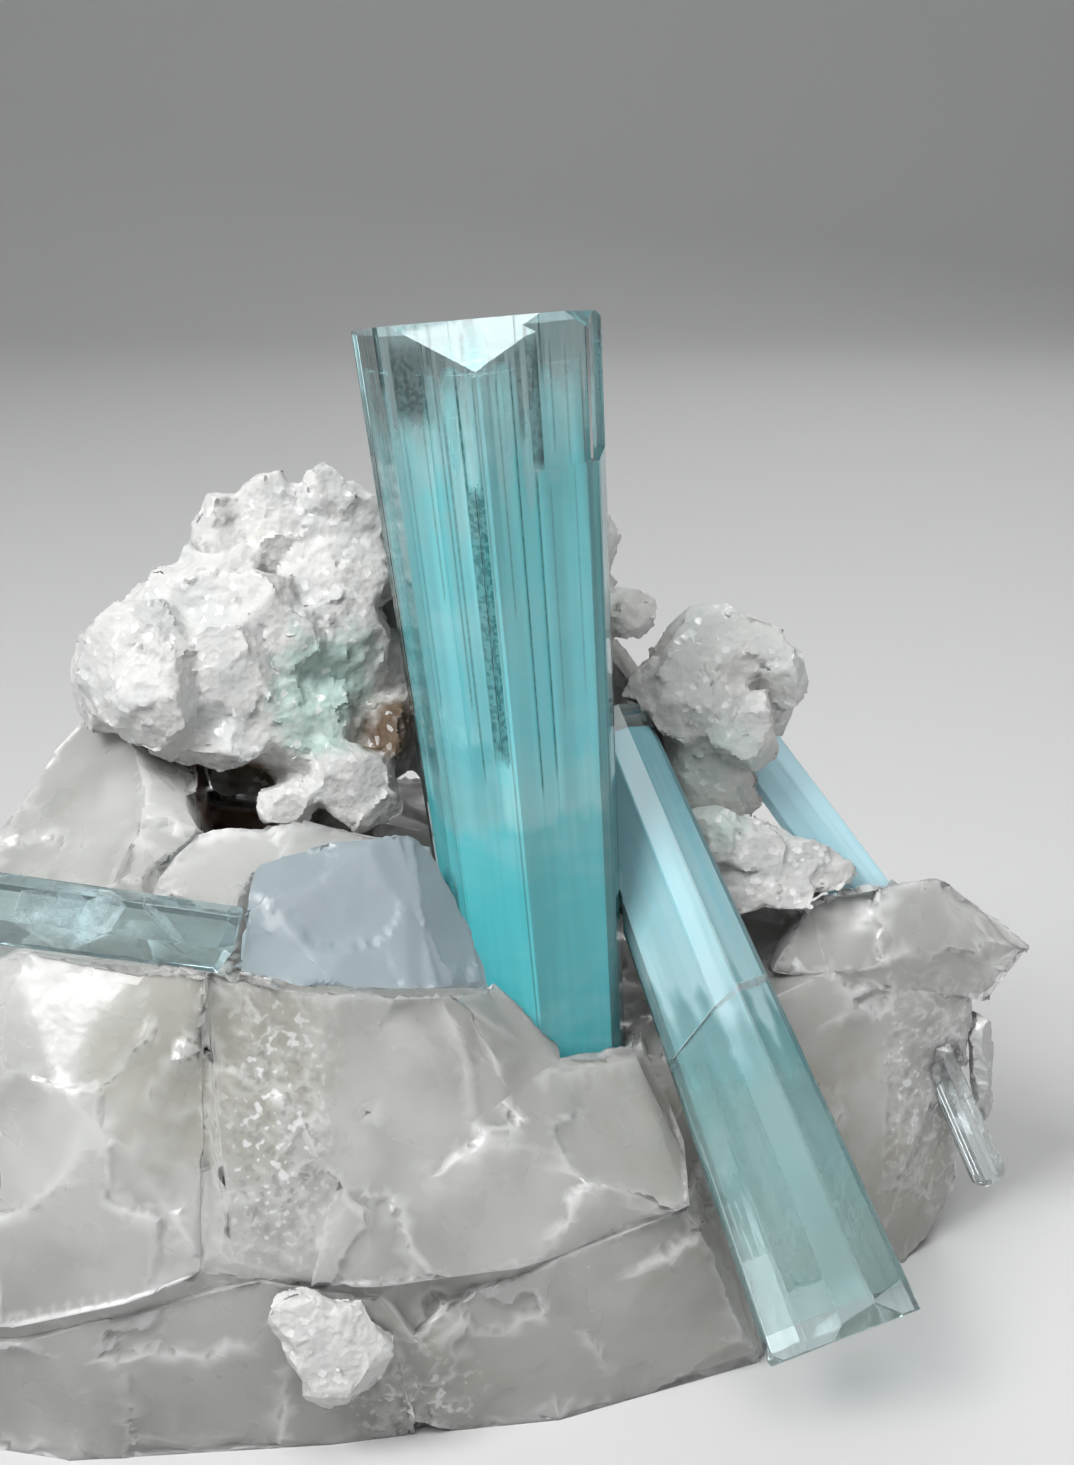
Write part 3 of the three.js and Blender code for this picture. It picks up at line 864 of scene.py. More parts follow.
@dataclass
class Surface:
    """A mesh's points and normals as arrays, for carving."""

    bm: bmesh.types.BMesh
    points: np.ndarray = field(init=False)
    normals: np.ndarray = field(init=False)

    def __post_init__(self) -> None:
        """Reads the arrays from the mesh."""
        self.read()

    def read(self) -> None:
        """Reads the arrays again."""
        self.bm.normal_update()
        self.points = np.array([v.co[:] for v in self.bm.verts])
        self.normals = np.array([v.normal[:] for v in self.bm.verts])

    def write(self) -> None:
        """Moves the mesh's points to the array's."""
        for vertex, point in zip(self.bm.verts, self.points):
            vertex.co = point
        self.bm.normal_update()

    def waves(self, size: float, seed: int = 0) -> np.ndarray:
        """Fractal noise from about -1 to 1 at each point, with bumps of a size in millimetres."""
        return fractal(self.points / (size * MM), seed * 101)

    def middles(self, facets: Facets) -> tuple[np.ndarray, np.ndarray]:
        """Picks spread points of the surface as the middles of broken faces.

        Args:
            facets: the sizes.

        Returns:
            The points, of which no two that face the same way are nearer than the spacing, and their normals.
        """
        dice = np.random.default_rng(facets.seed)
        order = dice.permutation(len(self.points))[:9000]
        found: list[int] = [int(order[0])]
        for i in order[1:]:
            near = np.linalg.norm(self.points[found] - self.points[i], axis=1) < facets.spacing * MM
            if not np.any(near & (self.normals[found] @ self.normals[i] > 0.6)):
                found.append(int(i))
        return self.points[found], self.normals[found]

    def cells(self, facets: Facets, middles: tuple[np.ndarray, np.ndarray]) -> np.ndarray:
        """Shares the points out among the broken faces.

        Args:
            facets: the sizes.
            middles: the middles of the faces and their normals.

        Returns:
            The number of each point's face, a near one that faces the same way.
        """
        drift = np.stack([self.waves(facets.spacing * 0.35, facets.seed + k) for k in range(3)], axis=1)
        where = self.points + drift * facets.ragged * 0.12 * facets.spacing * MM
        weight = 2.0 * (0.9 * facets.spacing * MM) ** 2
        centres, directions = middles
        tree = KDTree(len(centres))
        for k, centre in enumerate(centres):
            tree.insert(centre, k)
        tree.balance()
        nearest = np.array([[hit[1] for hit in tree.find_n(p, 6)] for p in where.tolist()])
        away = np.sum((where[:, None] - centres[nearest]) ** 2, axis=2)
        away += weight * (1.0 - np.sum(self.normals[:, None] * directions[nearest], axis=2))
        return nearest[np.arange(len(where)), np.argmin(away, axis=1)]

    def split_borders(self, facets: Facets, middles: tuple[np.ndarray, np.ndarray], longest: float) -> None:
        """Splits the edges that cross from one broken face to another, twice at most.

        Args:
            facets: the sizes.
            middles: the middles of the faces and their normals.
            longest: the length in metres that an edge may keep.
        """
        for _ in range(2):
            which = self.cells(facets, middles)
            self.bm.verts.index_update()
            across = [e for e in self.bm.edges if which[e.verts[0].index] != which[e.verts[1].index]
                      and e.calc_length() > longest]
            if not across:
                return
            split_edges(self.bm, across)
            self.read()

    def break_faces(self, facets: Facets, share: np.ndarray | None = None,
                    middles: tuple[np.ndarray, np.ndarray] | None = None) -> None:
        """Flattens the surface into broken faces with steps between them.

        Args:
            facets: the sizes.
            share: how much of the move each point gets, or None for all.
            middles: the middles of the faces, or None to choose them.
        """
        middles = middles or self.middles(facets)
        which = self.cells(facets, middles)
        dice = np.random.default_rng(facets.seed + 5)
        moved = self.points.copy()
        for k in range(len(middles[0])):
            lean, drop = dice.normal(size=3), dice.uniform(-0.5, 0.15) * facets.cut * MM
            tilt = math.tan(math.radians(facets.tilt)) * dice.uniform(0.2, 1.0)
            inside = np.flatnonzero(which == k)
            if len(inside) < 3:
                continue
            out = self.normals[inside].mean(axis=0)
            out /= np.linalg.norm(out) + 1e-9
            lean = np.cross(out, lean)
            face = out + tilt * lean / (np.linalg.norm(lean) + 1e-9)
            face /= np.linalg.norm(face)
            proud = (self.points[inside] - self.points[inside].mean(axis=0)) @ face - drop
            step = np.clip(proud, -facets.fill * MM, facets.cut * MM)
            if share is not None:
                step = step * share[inside]
            moved[inside] -= np.outer(step, face)
        self.points = moved
        self.write()
        self.read()

    def roughen(self, height: float, size: float, share: np.ndarray | None = None, seed: int = 0) -> None:
        """Moves points along their normals by fractal noise.

        Args:
            height: the most that a point moves, in millimetres.
            size: the size of the bumps in millimetres.
            share: how much of it each point gets, or None for all.
            seed: shifts the noise.
        """
        move = np.clip(self.waves(size, seed), -1.0, 1.0) * height * MM
        if share is not None:
            move = move * share
        self.points += self.normals * move[:, None]

    def soften(self, rounds: int) -> np.ndarray:
        """Rounds the surface off.

        Args:
            rounds: how many times.

        Returns:
            How far each point sank in metres, which is most along sharp rims.
        """
        before = self.points.copy()
        for _ in range(rounds):
            bmesh.ops.smooth_vert(self.bm, verts=self.bm.verts, factor=0.5, use_axis_x=True, use_axis_y=True,
                                  use_axis_z=True)
        normals = self.normals
        self.read()
        return np.sum((before - self.points) * normals, axis=1)

    def mark_rims(self, angle: float) -> None:
        """Stores on each point how sharp the outward edges that meet there are, as the attribute rim.

        Args:
            angle: the bend in radians that an edge needs to count.
        """
        sharpest = 0.9
        layer = self.bm.verts.layers.float.new("rim")
        for edge in self.bm.edges:
            if len(edge.link_faces) != 2:
                continue
            bend = edge.calc_face_angle_signed(0.0)
            if bend > angle:
                for vertex in edge.verts:
                    vertex[layer] = max(vertex[layer], min(1.0, bend / sharpest))

    def store(self, name: str, values: np.ndarray) -> None:
        """Stores a value on each point.

        Args:
            name: the attribute's name.
            values: the values.
        """
        layer = self.bm.verts.layers.float.new(name)
        for vertex, value in zip(self.bm.verts, values):
            vertex[layer] = value


def finished(obj: bpy.types.Object, material: bpy.types.Material, slot: Slot, *nodes: str) -> None:
    """Dresses a piece and ties it to the frame.

    Args:
        obj: the piece.
        material: its material.
        slot: the record's slot, which is not used.
        nodes: the CAD nodes that it stands for.
    """
    obj.data.materials.clear()
    obj.data.materials.append(material)
    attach(obj, BODY)
    if nodes:
        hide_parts(*nodes)
    log.info("%s: %d faces", obj.name, len(obj.data.polygons))


def crisp(obj: bpy.types.Object, degrees: float) -> None:
    """Smooth shading with sharp edges above an angle."""
    obj.data.shade_smooth()
    obj.data.set_sharp_from_angle(angle=math.radians(degrees))


# Crystals


@dataclass(frozen=True)
class Stripe:
    """A lengthwise line on a crystal's front: its place, width and ends, and how dark or frosty it is."""

    x: float
    width: float
    low: float
    high: float
    # Darkness is partly growth line and partly painted dark reflection; frosting whitens as painted sheen.
    dark: float = 0.0
    frost: float = 0.0


@dataclass(frozen=True)
class Crack:
    """A thin sheet across a crystal: its height, climb along x and y, bulge and gap to the faces."""

    middle: float
    slope: tuple[float, float]
    swell: float
    inset: float = 0.7


@dataclass
class Prism:
    """A crystal built as a grooved prism that widens to its tip.

    The outline is the one at the tip. Each cut is a point and an outward direction in the crystal's own
    frame, in which +Z runs to the tip. Step and ring are the sizes of the mesh's faces round it and along it.
    """

    outline: list[tuple[float, float]]
    length: float
    root_scale: float
    foot: Vec3
    tip: Vec3
    cuts: list[tuple[Vec3, Vec3]] = field(default_factory=list)
    right: Vec3 = (1.0, 0.0, 0.0)
    step: float = 0.22
    ring: float = 1.2
    grooves: int = 60
    groove_depth: float = 0.06
    grooved_from: float = 0.0
    stripes: tuple[Stripe, ...] = ()
    stripe_fade: float = 1.2
    front_depth: float = 3.4
    back_lines: int = 0
    seed: int = 1

    def matrix(self) -> Matrix:
        """Places the crystal.

        Returns:
            The matrix from the crystal's own frame to the part's frame, both in millimetres.
        """
        foot, tip, right = Vector(self.foot), Vector(self.tip), Vector(self.right)
        z = (tip - foot).normalized()
        x = (right - z * z.dot(right)).normalized()
        y = z.cross(x)
        turn = Matrix((x, y, z)).transposed().to_4x4()
        return Matrix.Translation(foot) @ turn

    def scale_at(self, z: float) -> float:
        """The outline's scale at a height along the crystal."""
        return self.root_scale + (1.0 - self.root_scale) * z / self.length

    def perimeter(self) -> tuple[np.ndarray, np.ndarray, np.ndarray]:
        """Closely spaced points of the outline.

        Returns:
            The points, their outward normals, and how far round each one is.
        """
        corners = np.array(self.outline)
        following = np.roll(corners, -1, axis=0)
        area = np.sum(corners[:, 0] * following[:, 1] - following[:, 0] * corners[:, 1]) / 2
        side = 1.0 if area > 0 else -1.0
        points, normals, along, travelled = [], [], [], 0.0
        for start, end in zip(corners, following):
            span = end - start
            length = float(np.linalg.norm(span))
            count = max(1, round(length / self.step))
            normal = np.array((span[1], -span[0])) / length * side
            for i in range(count):
                points.append(start + span * i / count)
                normals.append(normal)
                along.append(travelled + length * i / count)
            travelled += length
        return np.array(points), np.array(normals), np.array(along)

    def heights(self) -> np.ndarray:
        """The heights of the rings along the crystal."""
        return np.linspace(0.0, self.length, max(2, round(self.length / self.ring)) + 1)

    def relief(self, points: np.ndarray, along: np.ndarray, z: float) -> np.ndarray:
        """The grooves of one ring.

        Args:
            points: the outline's points, which are not used here.
            along: how far round each one is.
            z: the ring's height.

        Returns:
            How far each point is moved out.
        """
        dice = np.random.default_rng(self.seed)
        total = along[-1]
        move = np.zeros(len(along))
        for _ in range(self.grooves):
            start = dice.uniform(0.0, total)
            width = dice.uniform(0.2, 0.9)
            depth = self.groove_depth * dice.uniform(0.15, 1.0) ** 1.5
            low = dice.uniform(-0.5, 0.8) * self.length
            high = low + dice.uniform(0.25, 1.2) * self.length
            if max(low, self.grooved_from) < z < high:
                move[(along > start) & (along < start + width)] -= depth
        return move

    def settled(self, points: np.ndarray, z: float) -> np.ndarray:
        """The outline's points at a height, before grooves."""
        return points

    def marks(self, points: np.ndarray, along: np.ndarray, z: float) -> tuple[np.ndarray, np.ndarray]:
        """The dark and frosty lines of one ring, partly painted dark reflection and painted sheen.

        Args:
            points: the outline's points.
            along: how far round each one is.
            z: the ring's height.

        Returns:
            How streaked and how frosted each point is.
        """
        streak, frost = np.zeros(len(points)), np.zeros(len(points))
        front = points[:, 1] < self.front_depth
        for line in self.stripes:
            ends = min(z - line.low, line.high - z) / self.stripe_fade
            if ends <= 0.0:
                continue
            inside = front & (np.abs(points[:, 0] - line.x) < line.width / 2)
            streak[inside] = np.maximum(streak[inside], line.dark * min(1.0, ends))
            frost[inside] = np.maximum(frost[inside], line.frost * min(1.0, ends))
        # Dark lines on the back, partly painted dark reflection.
        dice = np.random.default_rng(self.seed + 7)
        for _ in range(self.back_lines):
            start, width, dark = dice.uniform(0.0, along[-1]), dice.uniform(0.2, 0.7), dice.uniform(0.2, 0.9)
            low = dice.uniform(0.6, 0.95) * self.length
            if low < z < low + dice.uniform(0.1, 0.6) * self.length:
                inside = ~front & (along > start) & (along < start + width)
                streak[inside] = np.maximum(streak[inside], dark)
        return streak, frost

    def shrunken(self, points: np.ndarray, inset: float) -> np.ndarray:
        """The outline without its steps, drawn in towards its middle.

        Args:
            points: the outline's points.
            inset: how far they move in.

        Returns:
            The moved points.
        """
        plain = self.settled(points, self.length)
        away = plain - plain.mean(axis=0)
        return plain - away * inset / np.linalg.norm(away, axis=1, keepdims=True)

    def shape(self, inset: float = 0.0, low: float = 0.0, high: float | None = None) -> bmesh.types.BMesh:
        """The crystal as a closed mesh in metres, in the part's frame.

        Args:
            inset: how far inside the crystal's faces the mesh lies, for a smooth cloud within it.
            low: the height along the crystal at which it starts.
            high: the height at which it ends, or None for the tip.

        Returns:
            The mesh, whose points carry the attributes streak and frost.
        """
        base, normals, along = self.perimeter()
        bm = bmesh.new()
        layers = bm.verts.layers.float.new("streak"), bm.verts.layers.float.new("frost")
        rings = []
        top = self.length if high is None else high
        levels = [z for z in self.heights() if low < z < top]
        for z in [low, *levels, top]:
            if inset:
                outline = self.shrunken(base, inset)
            else:
                outline = self.settled(base, z) + normals * self.relief(base, along, z)[:, None]
            marks = self.marks(base, along, z)
            ring = []
            for i, (x, y) in enumerate(outline * self.scale_at(z)):
                vertex = bm.verts.new((x, y, z))
                for layer, values in zip(layers, marks):
                    vertex[layer] = values[i]
                ring.append(vertex)
            rings.append(ring)
        count = len(base)
        for lower, upper in zip(rings, rings[1:]):
            for i in range(count):
                j = (i + 1) % count
                bm.faces.new((lower[i], lower[j], upper[j], upper[i]))
        bm.faces.new(rings[-1])
        bm.faces.new(list(reversed(rings[0])))
        for point, normal in self.cuts:
            chopped(bm, Vector(point) - Vector(normal).normalized() * inset, normal)
        bmesh.ops.remove_doubles(bm, verts=bm.verts, dist=0.002)
        bmesh.ops.recalc_face_normals(bm, faces=bm.faces)
        bm.transform(Matrix.Scale(MM, 4) @ self.matrix())
        return bm

    def sheet(self, crack: Crack, thickness: float = 0.06) -> bmesh.types.BMesh:
        """A thin closed sheet right across the crystal.

        Args:
            crack: its place and form.
            thickness: its thickness.

        Returns:
            The mesh in metres, in the part's frame.
        """
        corners = np.array(self.outline) * self.scale_at(crack.middle)
        centre, slope = corners.mean(axis=0), np.array(crack.slope)
        reach = np.linalg.norm(corners - centre, axis=1, keepdims=True)
        rim = centre + (corners - centre) * (1.0 - crack.inset / reach)
        bm = bmesh.new()
        shares = np.linspace(0.0, 1.0, 12)[1:]
        sheets = []
        for side in (-0.5 * thickness, 0.5 * thickness):
            rows = []
            for share in shares:
                flat = centre + (rim - centre) * share
                ripple = 0.25 * np.sin(3.0 * flat[:, 0] + 1.7 * flat[:, 1])
                height = crack.middle + flat @ slope + crack.swell * (1.0 - share ** 2) + ripple * share
                rows.append([bm.verts.new((x, y, z + side)) for (x, y), z in zip(flat, height)])
            hub = bm.verts.new((*centre, crack.middle + float(centre @ slope) + crack.swell + side))
            sheets.append((hub, rows))
        count = len(rim)
        for hub, rows in sheets:
            for i in range(count):
                j = (i + 1) % count
                bm.faces.new((hub, rows[0][i], rows[0][j]))
                for inner, outer in zip(rows, rows[1:]):
                    bm.faces.new((inner[i], outer[i], outer[j], inner[j]))
        under, over = sheets[0][1][-1], sheets[1][1][-1]
        for i in range(count):
            j = (i + 1) % count
            bm.faces.new((under[i], under[j], over[j], over[i]))
        bmesh.ops.recalc_face_normals(bm, faces=bm.faces)
        bm.transform(Matrix.Scale(MM, 4) @ self.matrix())
        return bm


@dataclass
class MainCrystal(Prism):
    """The tall crystal, with the ledge near its top and the dark pointed ridge on its front.

    The front planes are the x and y of the front without its steps. The steps die out towards the top between
    the two distances from the tip in plain_top, and towards the root between the heights in plain_root.
    """

    ledge_drop: float = 15.6
    ledge_depth: float = 0.9
    ledge_from: float = 5.0
    ridge_span: tuple[float, float] = (-2.1, -0.7)
    ridge_drop: float = 0.4
    ridge_point: float = 1.4
    ridge_height: float = 0.6
    ridge_length: float = 30.0
    front_planes: tuple[tuple[float, ...], tuple[float, ...]] = ((-9.7, -0.1, 12.1), (-6.4, -11.5, -5.2))
    plain_top: tuple[float, float] = (14.0, 6.0)
    plain_root: tuple[float, float] = (54.0, 40.0)

    def heights(self) -> np.ndarray:
        """The heights of the rings, with a close pair at the ledge and close ones at the ridge's point.

        Returns:
            The heights.
        """
        floor = self.length - self.ledge_drop
        extra = [floor - 0.02, floor + 0.02] + [floor - self.ridge_drop - k * 0.2 for k in range(9)]
        return np.unique(np.concatenate([super().heights(), extra]))

    def settled(self, points: np.ndarray, z: float) -> np.ndarray:
        """The outline at a height, whose steps die out towards the slanting end face and towards the root.

        Args:
            points: the outline's points.
            z: the height.

        Returns:
            The moved points.
        """
        far, near = self.plain_top
        above, below = self.plain_root
        share = min(1.0, max(0.0, (z - self.length + far) / (far - near), (above - z) / (above - below)))
        front = points[:, 1] < -5.0
        plane = np.interp(points[:, 0], *self.front_planes)
        moved = points.copy()
        moved[front, 1] += (plane[front] - points[front, 1]) * share
        return moved

    def relief(self, points: np.ndarray, along: np.ndarray, z: float) -> np.ndarray:
        """The grooves of one ring, with the ledge and the ridge.

        Args:
            points: the outline's points.
            along: how far round each one is.
            z: the ring's height.

        Returns:
            How far each point is moved out.
        """
        move = super().relief(points, along, z)
        x, y = points[:, 0], points[:, 1]
        floor = self.length - self.ledge_drop
        if z > floor:
            move[(x > self.ledge_from) & (y < self.front_depth)] -= self.ledge_depth
        low, high = self.ridge_span
        top = floor - self.ridge_drop
        if top - self.ridge_length < z < top:
            taper = min(1.0, (top - z) / self.ridge_point)
            move[(x > high - (high - low) * taper) & (x < high) & (y < -6.0)] += self.ridge_height
        return move


@dataclass
class Crystals:
    """All the crystals, with the clouds and the healed cracks inside them."""

    edge: float = 0.12
    end_area: float = 20.0
    leaning_end: Vec3 = (0.12, -0.66, 0.74)
    leaning_cracks: tuple[Crack, ...] = (
        Crack(38.0, (-0.35, -0.25), 1.6, 0.35), Crack(33.5, (0.3, -0.5), -1.4, 1.2),
    )
    left_cracks: tuple[Crack, ...] = (
        Crack(7.0, (1.2, 0.4), 0.8), Crack(15.0, (-1.0, 0.9), -1.0), Crack(19.0, (0.7, -1.4), 1.2),
        Crack(29.0, (-1.1, -0.8), 0.6),
    )

    def main(self) -> MainCrystal:
        """The tall crystal, with its sizes as in the CAD source.

        Returns:
            The crystal.
        """
        return MainCrystal(
            outline=[
                (-13.3, 3.0), (-9.7, -6.4), (-5.6, -8.55), (-5.5, -8.15), (-4.1, -8.9), (-4.0, -9.4),
                (-2.3, -10.3), (-2.2, -9.85), (-0.8, -10.6), (-0.75, -11.15), (-0.1, -11.5), (2.4, -10.25),
                (2.45, -9.8), (3.3, -9.4), (3.35, -9.8), (4.7, -9.1), (4.75, -8.6), (5.2, -8.35), (5.3, -8.8),
                (12.1, -5.2), (13.0, 3.5), (9.0, 7.0), (4.0, 7.0), (3.8, 6.5), (-3.0, 6.5), (-3.2, 7.0),
                (-9.5, 7.0),
            ],
            length=100.7, root_scale=0.664, foot=(10.3, 0.0, 15.7), tip=(1.7, 0.0, 115.3),
            cuts=[
                ((0.0, -7.0, 100.7), (0.0, -0.737, 0.677)), ((0.0, -7.0, 100.7), (0.0, 0.13, 0.99)),
                ((8.7, -6.96, 100.7), (0.694, -0.144, 0.705)), ((-12.4, 0.5, 100.7), (-0.85, -0.28, 0.45)),
            ],
            stripes=(
                Stripe(-11.6, 3.4, 52.0, 100.7, 0.7), Stripe(-12.4, 0.5, 60.0, 100.0, 0.6),
                Stripe(-11.0, 0.35, 56.0, 100.0, 0.7), Stripe(-10.2, 0.3, 66.0, 100.0, 0.6),
                Stripe(-7.2, 3.4, 90.5, 99.2, 0.95), Stripe(-8.3, 0.25, 60.0, 99.0, 0.7),
                Stripe(-5.2, 1.0, 90.0, 99.0, 0.6), Stripe(-6.2, 0.22, 72.0, 99.0, 0.8),
                Stripe(-4.5, 0.4, 60.0, 99.5, 0.9), Stripe(-3.9, 0.22, 52.0, 92.0, 0.8),
                Stripe(-2.9, 0.8, 84.5, 92.5, frost=0.9), Stripe(-2.3, 0.35, 54.0, 97.0, 1.0),
                Stripe(-1.4, 1.4, 54.5, 84.7, 0.95), Stripe(-0.6, 0.3, 54.0, 96.0, 1.0),
                Stripe(1.8, 0.25, 70.0, 96.0, 0.8), Stripe(2.7, 0.8, 86.0, 92.8, frost=0.9),
                Stripe(3.35, 0.3, 50.0, 97.5, 1.0), Stripe(4.05, 0.6, 88.0, 98.5, 0.8),
                Stripe(4.85, 0.5, 86.5, 93.0, frost=0.8), Stripe(5.25, 0.22, 52.0, 99.0, 0.9),
                Stripe(6.6, 0.2, 58.0, 84.0, 0.6), Stripe(7.8, 0.22, 86.5, 98.0, 0.8),
                Stripe(9.4, 0.22, 60.0, 98.0, 0.6), Stripe(10.9, 0.22, 50.0, 97.0, 0.5),
                Stripe(11.9, 0.25, 30.0, 98.0, 0.7), Stripe(6.5, 1.5, 94.0, 99.0, 0.35),
                Stripe(8.6, 7.0, 84.2, 86.2, frost=0.9),
            ),
            back_lines=40, grooved_from=48.0,
        )

    def leaning(self) -> Prism:
        """The leaning crystal, with its sizes as in the CAD source.

        Returns:
            The crystal.
        """
        return Prism(
            outline=[(-8.8, -0.5), (-8.4, 2.0), (-1.1, 7.0), (3.0, 7.2), (7.9, 3.2), (8.8, -0.8), (5.5, -6.0),
                     (-1.0, -7.5), (-6.5, -5.5)],
            length=74.0, root_scale=0.63, foot=(15.7, 16.2, 66.5), tip=(40.8, -27.0, 11.9),
            cuts=[((1.0, 5.6, 74.0), (0.1, 0.75, 0.65)), ((8.3, 0.0, 74.0), (0.8, 0.1, 0.6)),
                  ((-8.2, 0.0, 74.0), (-0.75, 0.2, 0.6))],
            grooves=0,
        )

    def left(self) -> Prism:
        """The crystal that runs to the left, with its sizes as in the CAD source.

        Returns:
            The crystal.
        """
        return Prism(
            outline=[(-3.5, -1.4), (-3.1, 1.9), (0.2, 3.6), (3.2, 2.1), (3.5, -1.3), (0.3, -3.3)],
            length=38.0, root_scale=0.92, foot=(-22.2, -22.0, 55.4), tip=(-60.0, -19.0, 59.6),
            right=(0.0, 0.0, 1.0), grooves=0,
        )

    def build(self, looks: "Looks") -> None:
        """Builds and dresses every crystal and what is inside it.

        Args:
            looks: the materials.
        """
        tall, slanted, flat = self.main(), self.leaning(), self.left()
        striated = from_bmesh("main_crystal_striated", tall.shape())
        finished(striated, looks.aquamarine, Slot.AQUAMARINE, "main_crystal")
        cloud = from_bmesh("main_crystal_cloud", tall.shape(inset=1.75, low=0.4, high=95.5))
        finished(cloud, looks.main_cloud, Slot.AQUAMARINE)
        faced = from_bmesh("leaning_crystal_faced", self._eased("leaning_crystal", self.leaning_end))
        finished(faced, looks.leaning, Slot.AQUAMARINE, "leaning_crystal")
        cloud = from_bmesh("leaning_crystal_cloud", slanted.shape(inset=1.0, low=3.0, high=71.0))
        finished(cloud, looks.leaning_cloud, Slot.AQUAMARINE)
        for i, (crack, look) in enumerate(zip(self.leaning_cracks, (looks.crack, looks.veil))):
            sheet = from_bmesh(f"leaning_crystal_crack_{i + 1}", slanted.sheet(crack))
            finished(sheet, look, Slot.AQUAMARINE)
        for i, crack in enumerate(self.left_cracks):
            sheet = from_bmesh(f"left_crystal_veil_{i + 1}", flat.sheet(crack))
            finished(sheet, looks.veil, Slot.PALE_BERYL)
        pale = {"left_crystal": looks.pale, "back_crystal": looks.misty, "small_crystal": looks.small}
        for node, look in pale.items():
            finished(from_bmesh(f"{node}_faced", self._eased(node)), look, Slot.PALE_BERYL, node)

    def _eased(self, node: str, frosted: Vec3 | None = None) -> bmesh.types.BMesh:
        """A CAD crystal with its edges eased.

        Args:
            node: the CAD node.
            frosted: the outward direction of a face that is frosted and whitened as painted sheen, if any.

        Returns:
            The mesh.
        """
        bm = merged_copy(node, 1.0)
        sharp = [e for e in bm.edges if len(e.link_faces) == 2 and e.calc_face_angle(0.0) > math.radians(12)]
        bmesh.ops.bevel(bm, geom=sharp, offset=self.edge * MM, segments=2, affect="EDGES", profile=0.5,
                        clamp_overlap=True)
        bmesh.ops.recalc_face_normals(bm, faces=bm.faces)
        layer = bm.faces.layers.float.new("frost")
        if frosted:
            aim = Vector(frosted).normalized()
            smallest = self.end_area * MM ** 2
            best = max(bm.faces, key=lambda face: face.normal.dot(aim) + (face.calc_area() > smallest))
            # The end face is frosted, and whitened as painted sheen of the key lamp.
            best[layer] = 0.7
        return bm


# Quartz


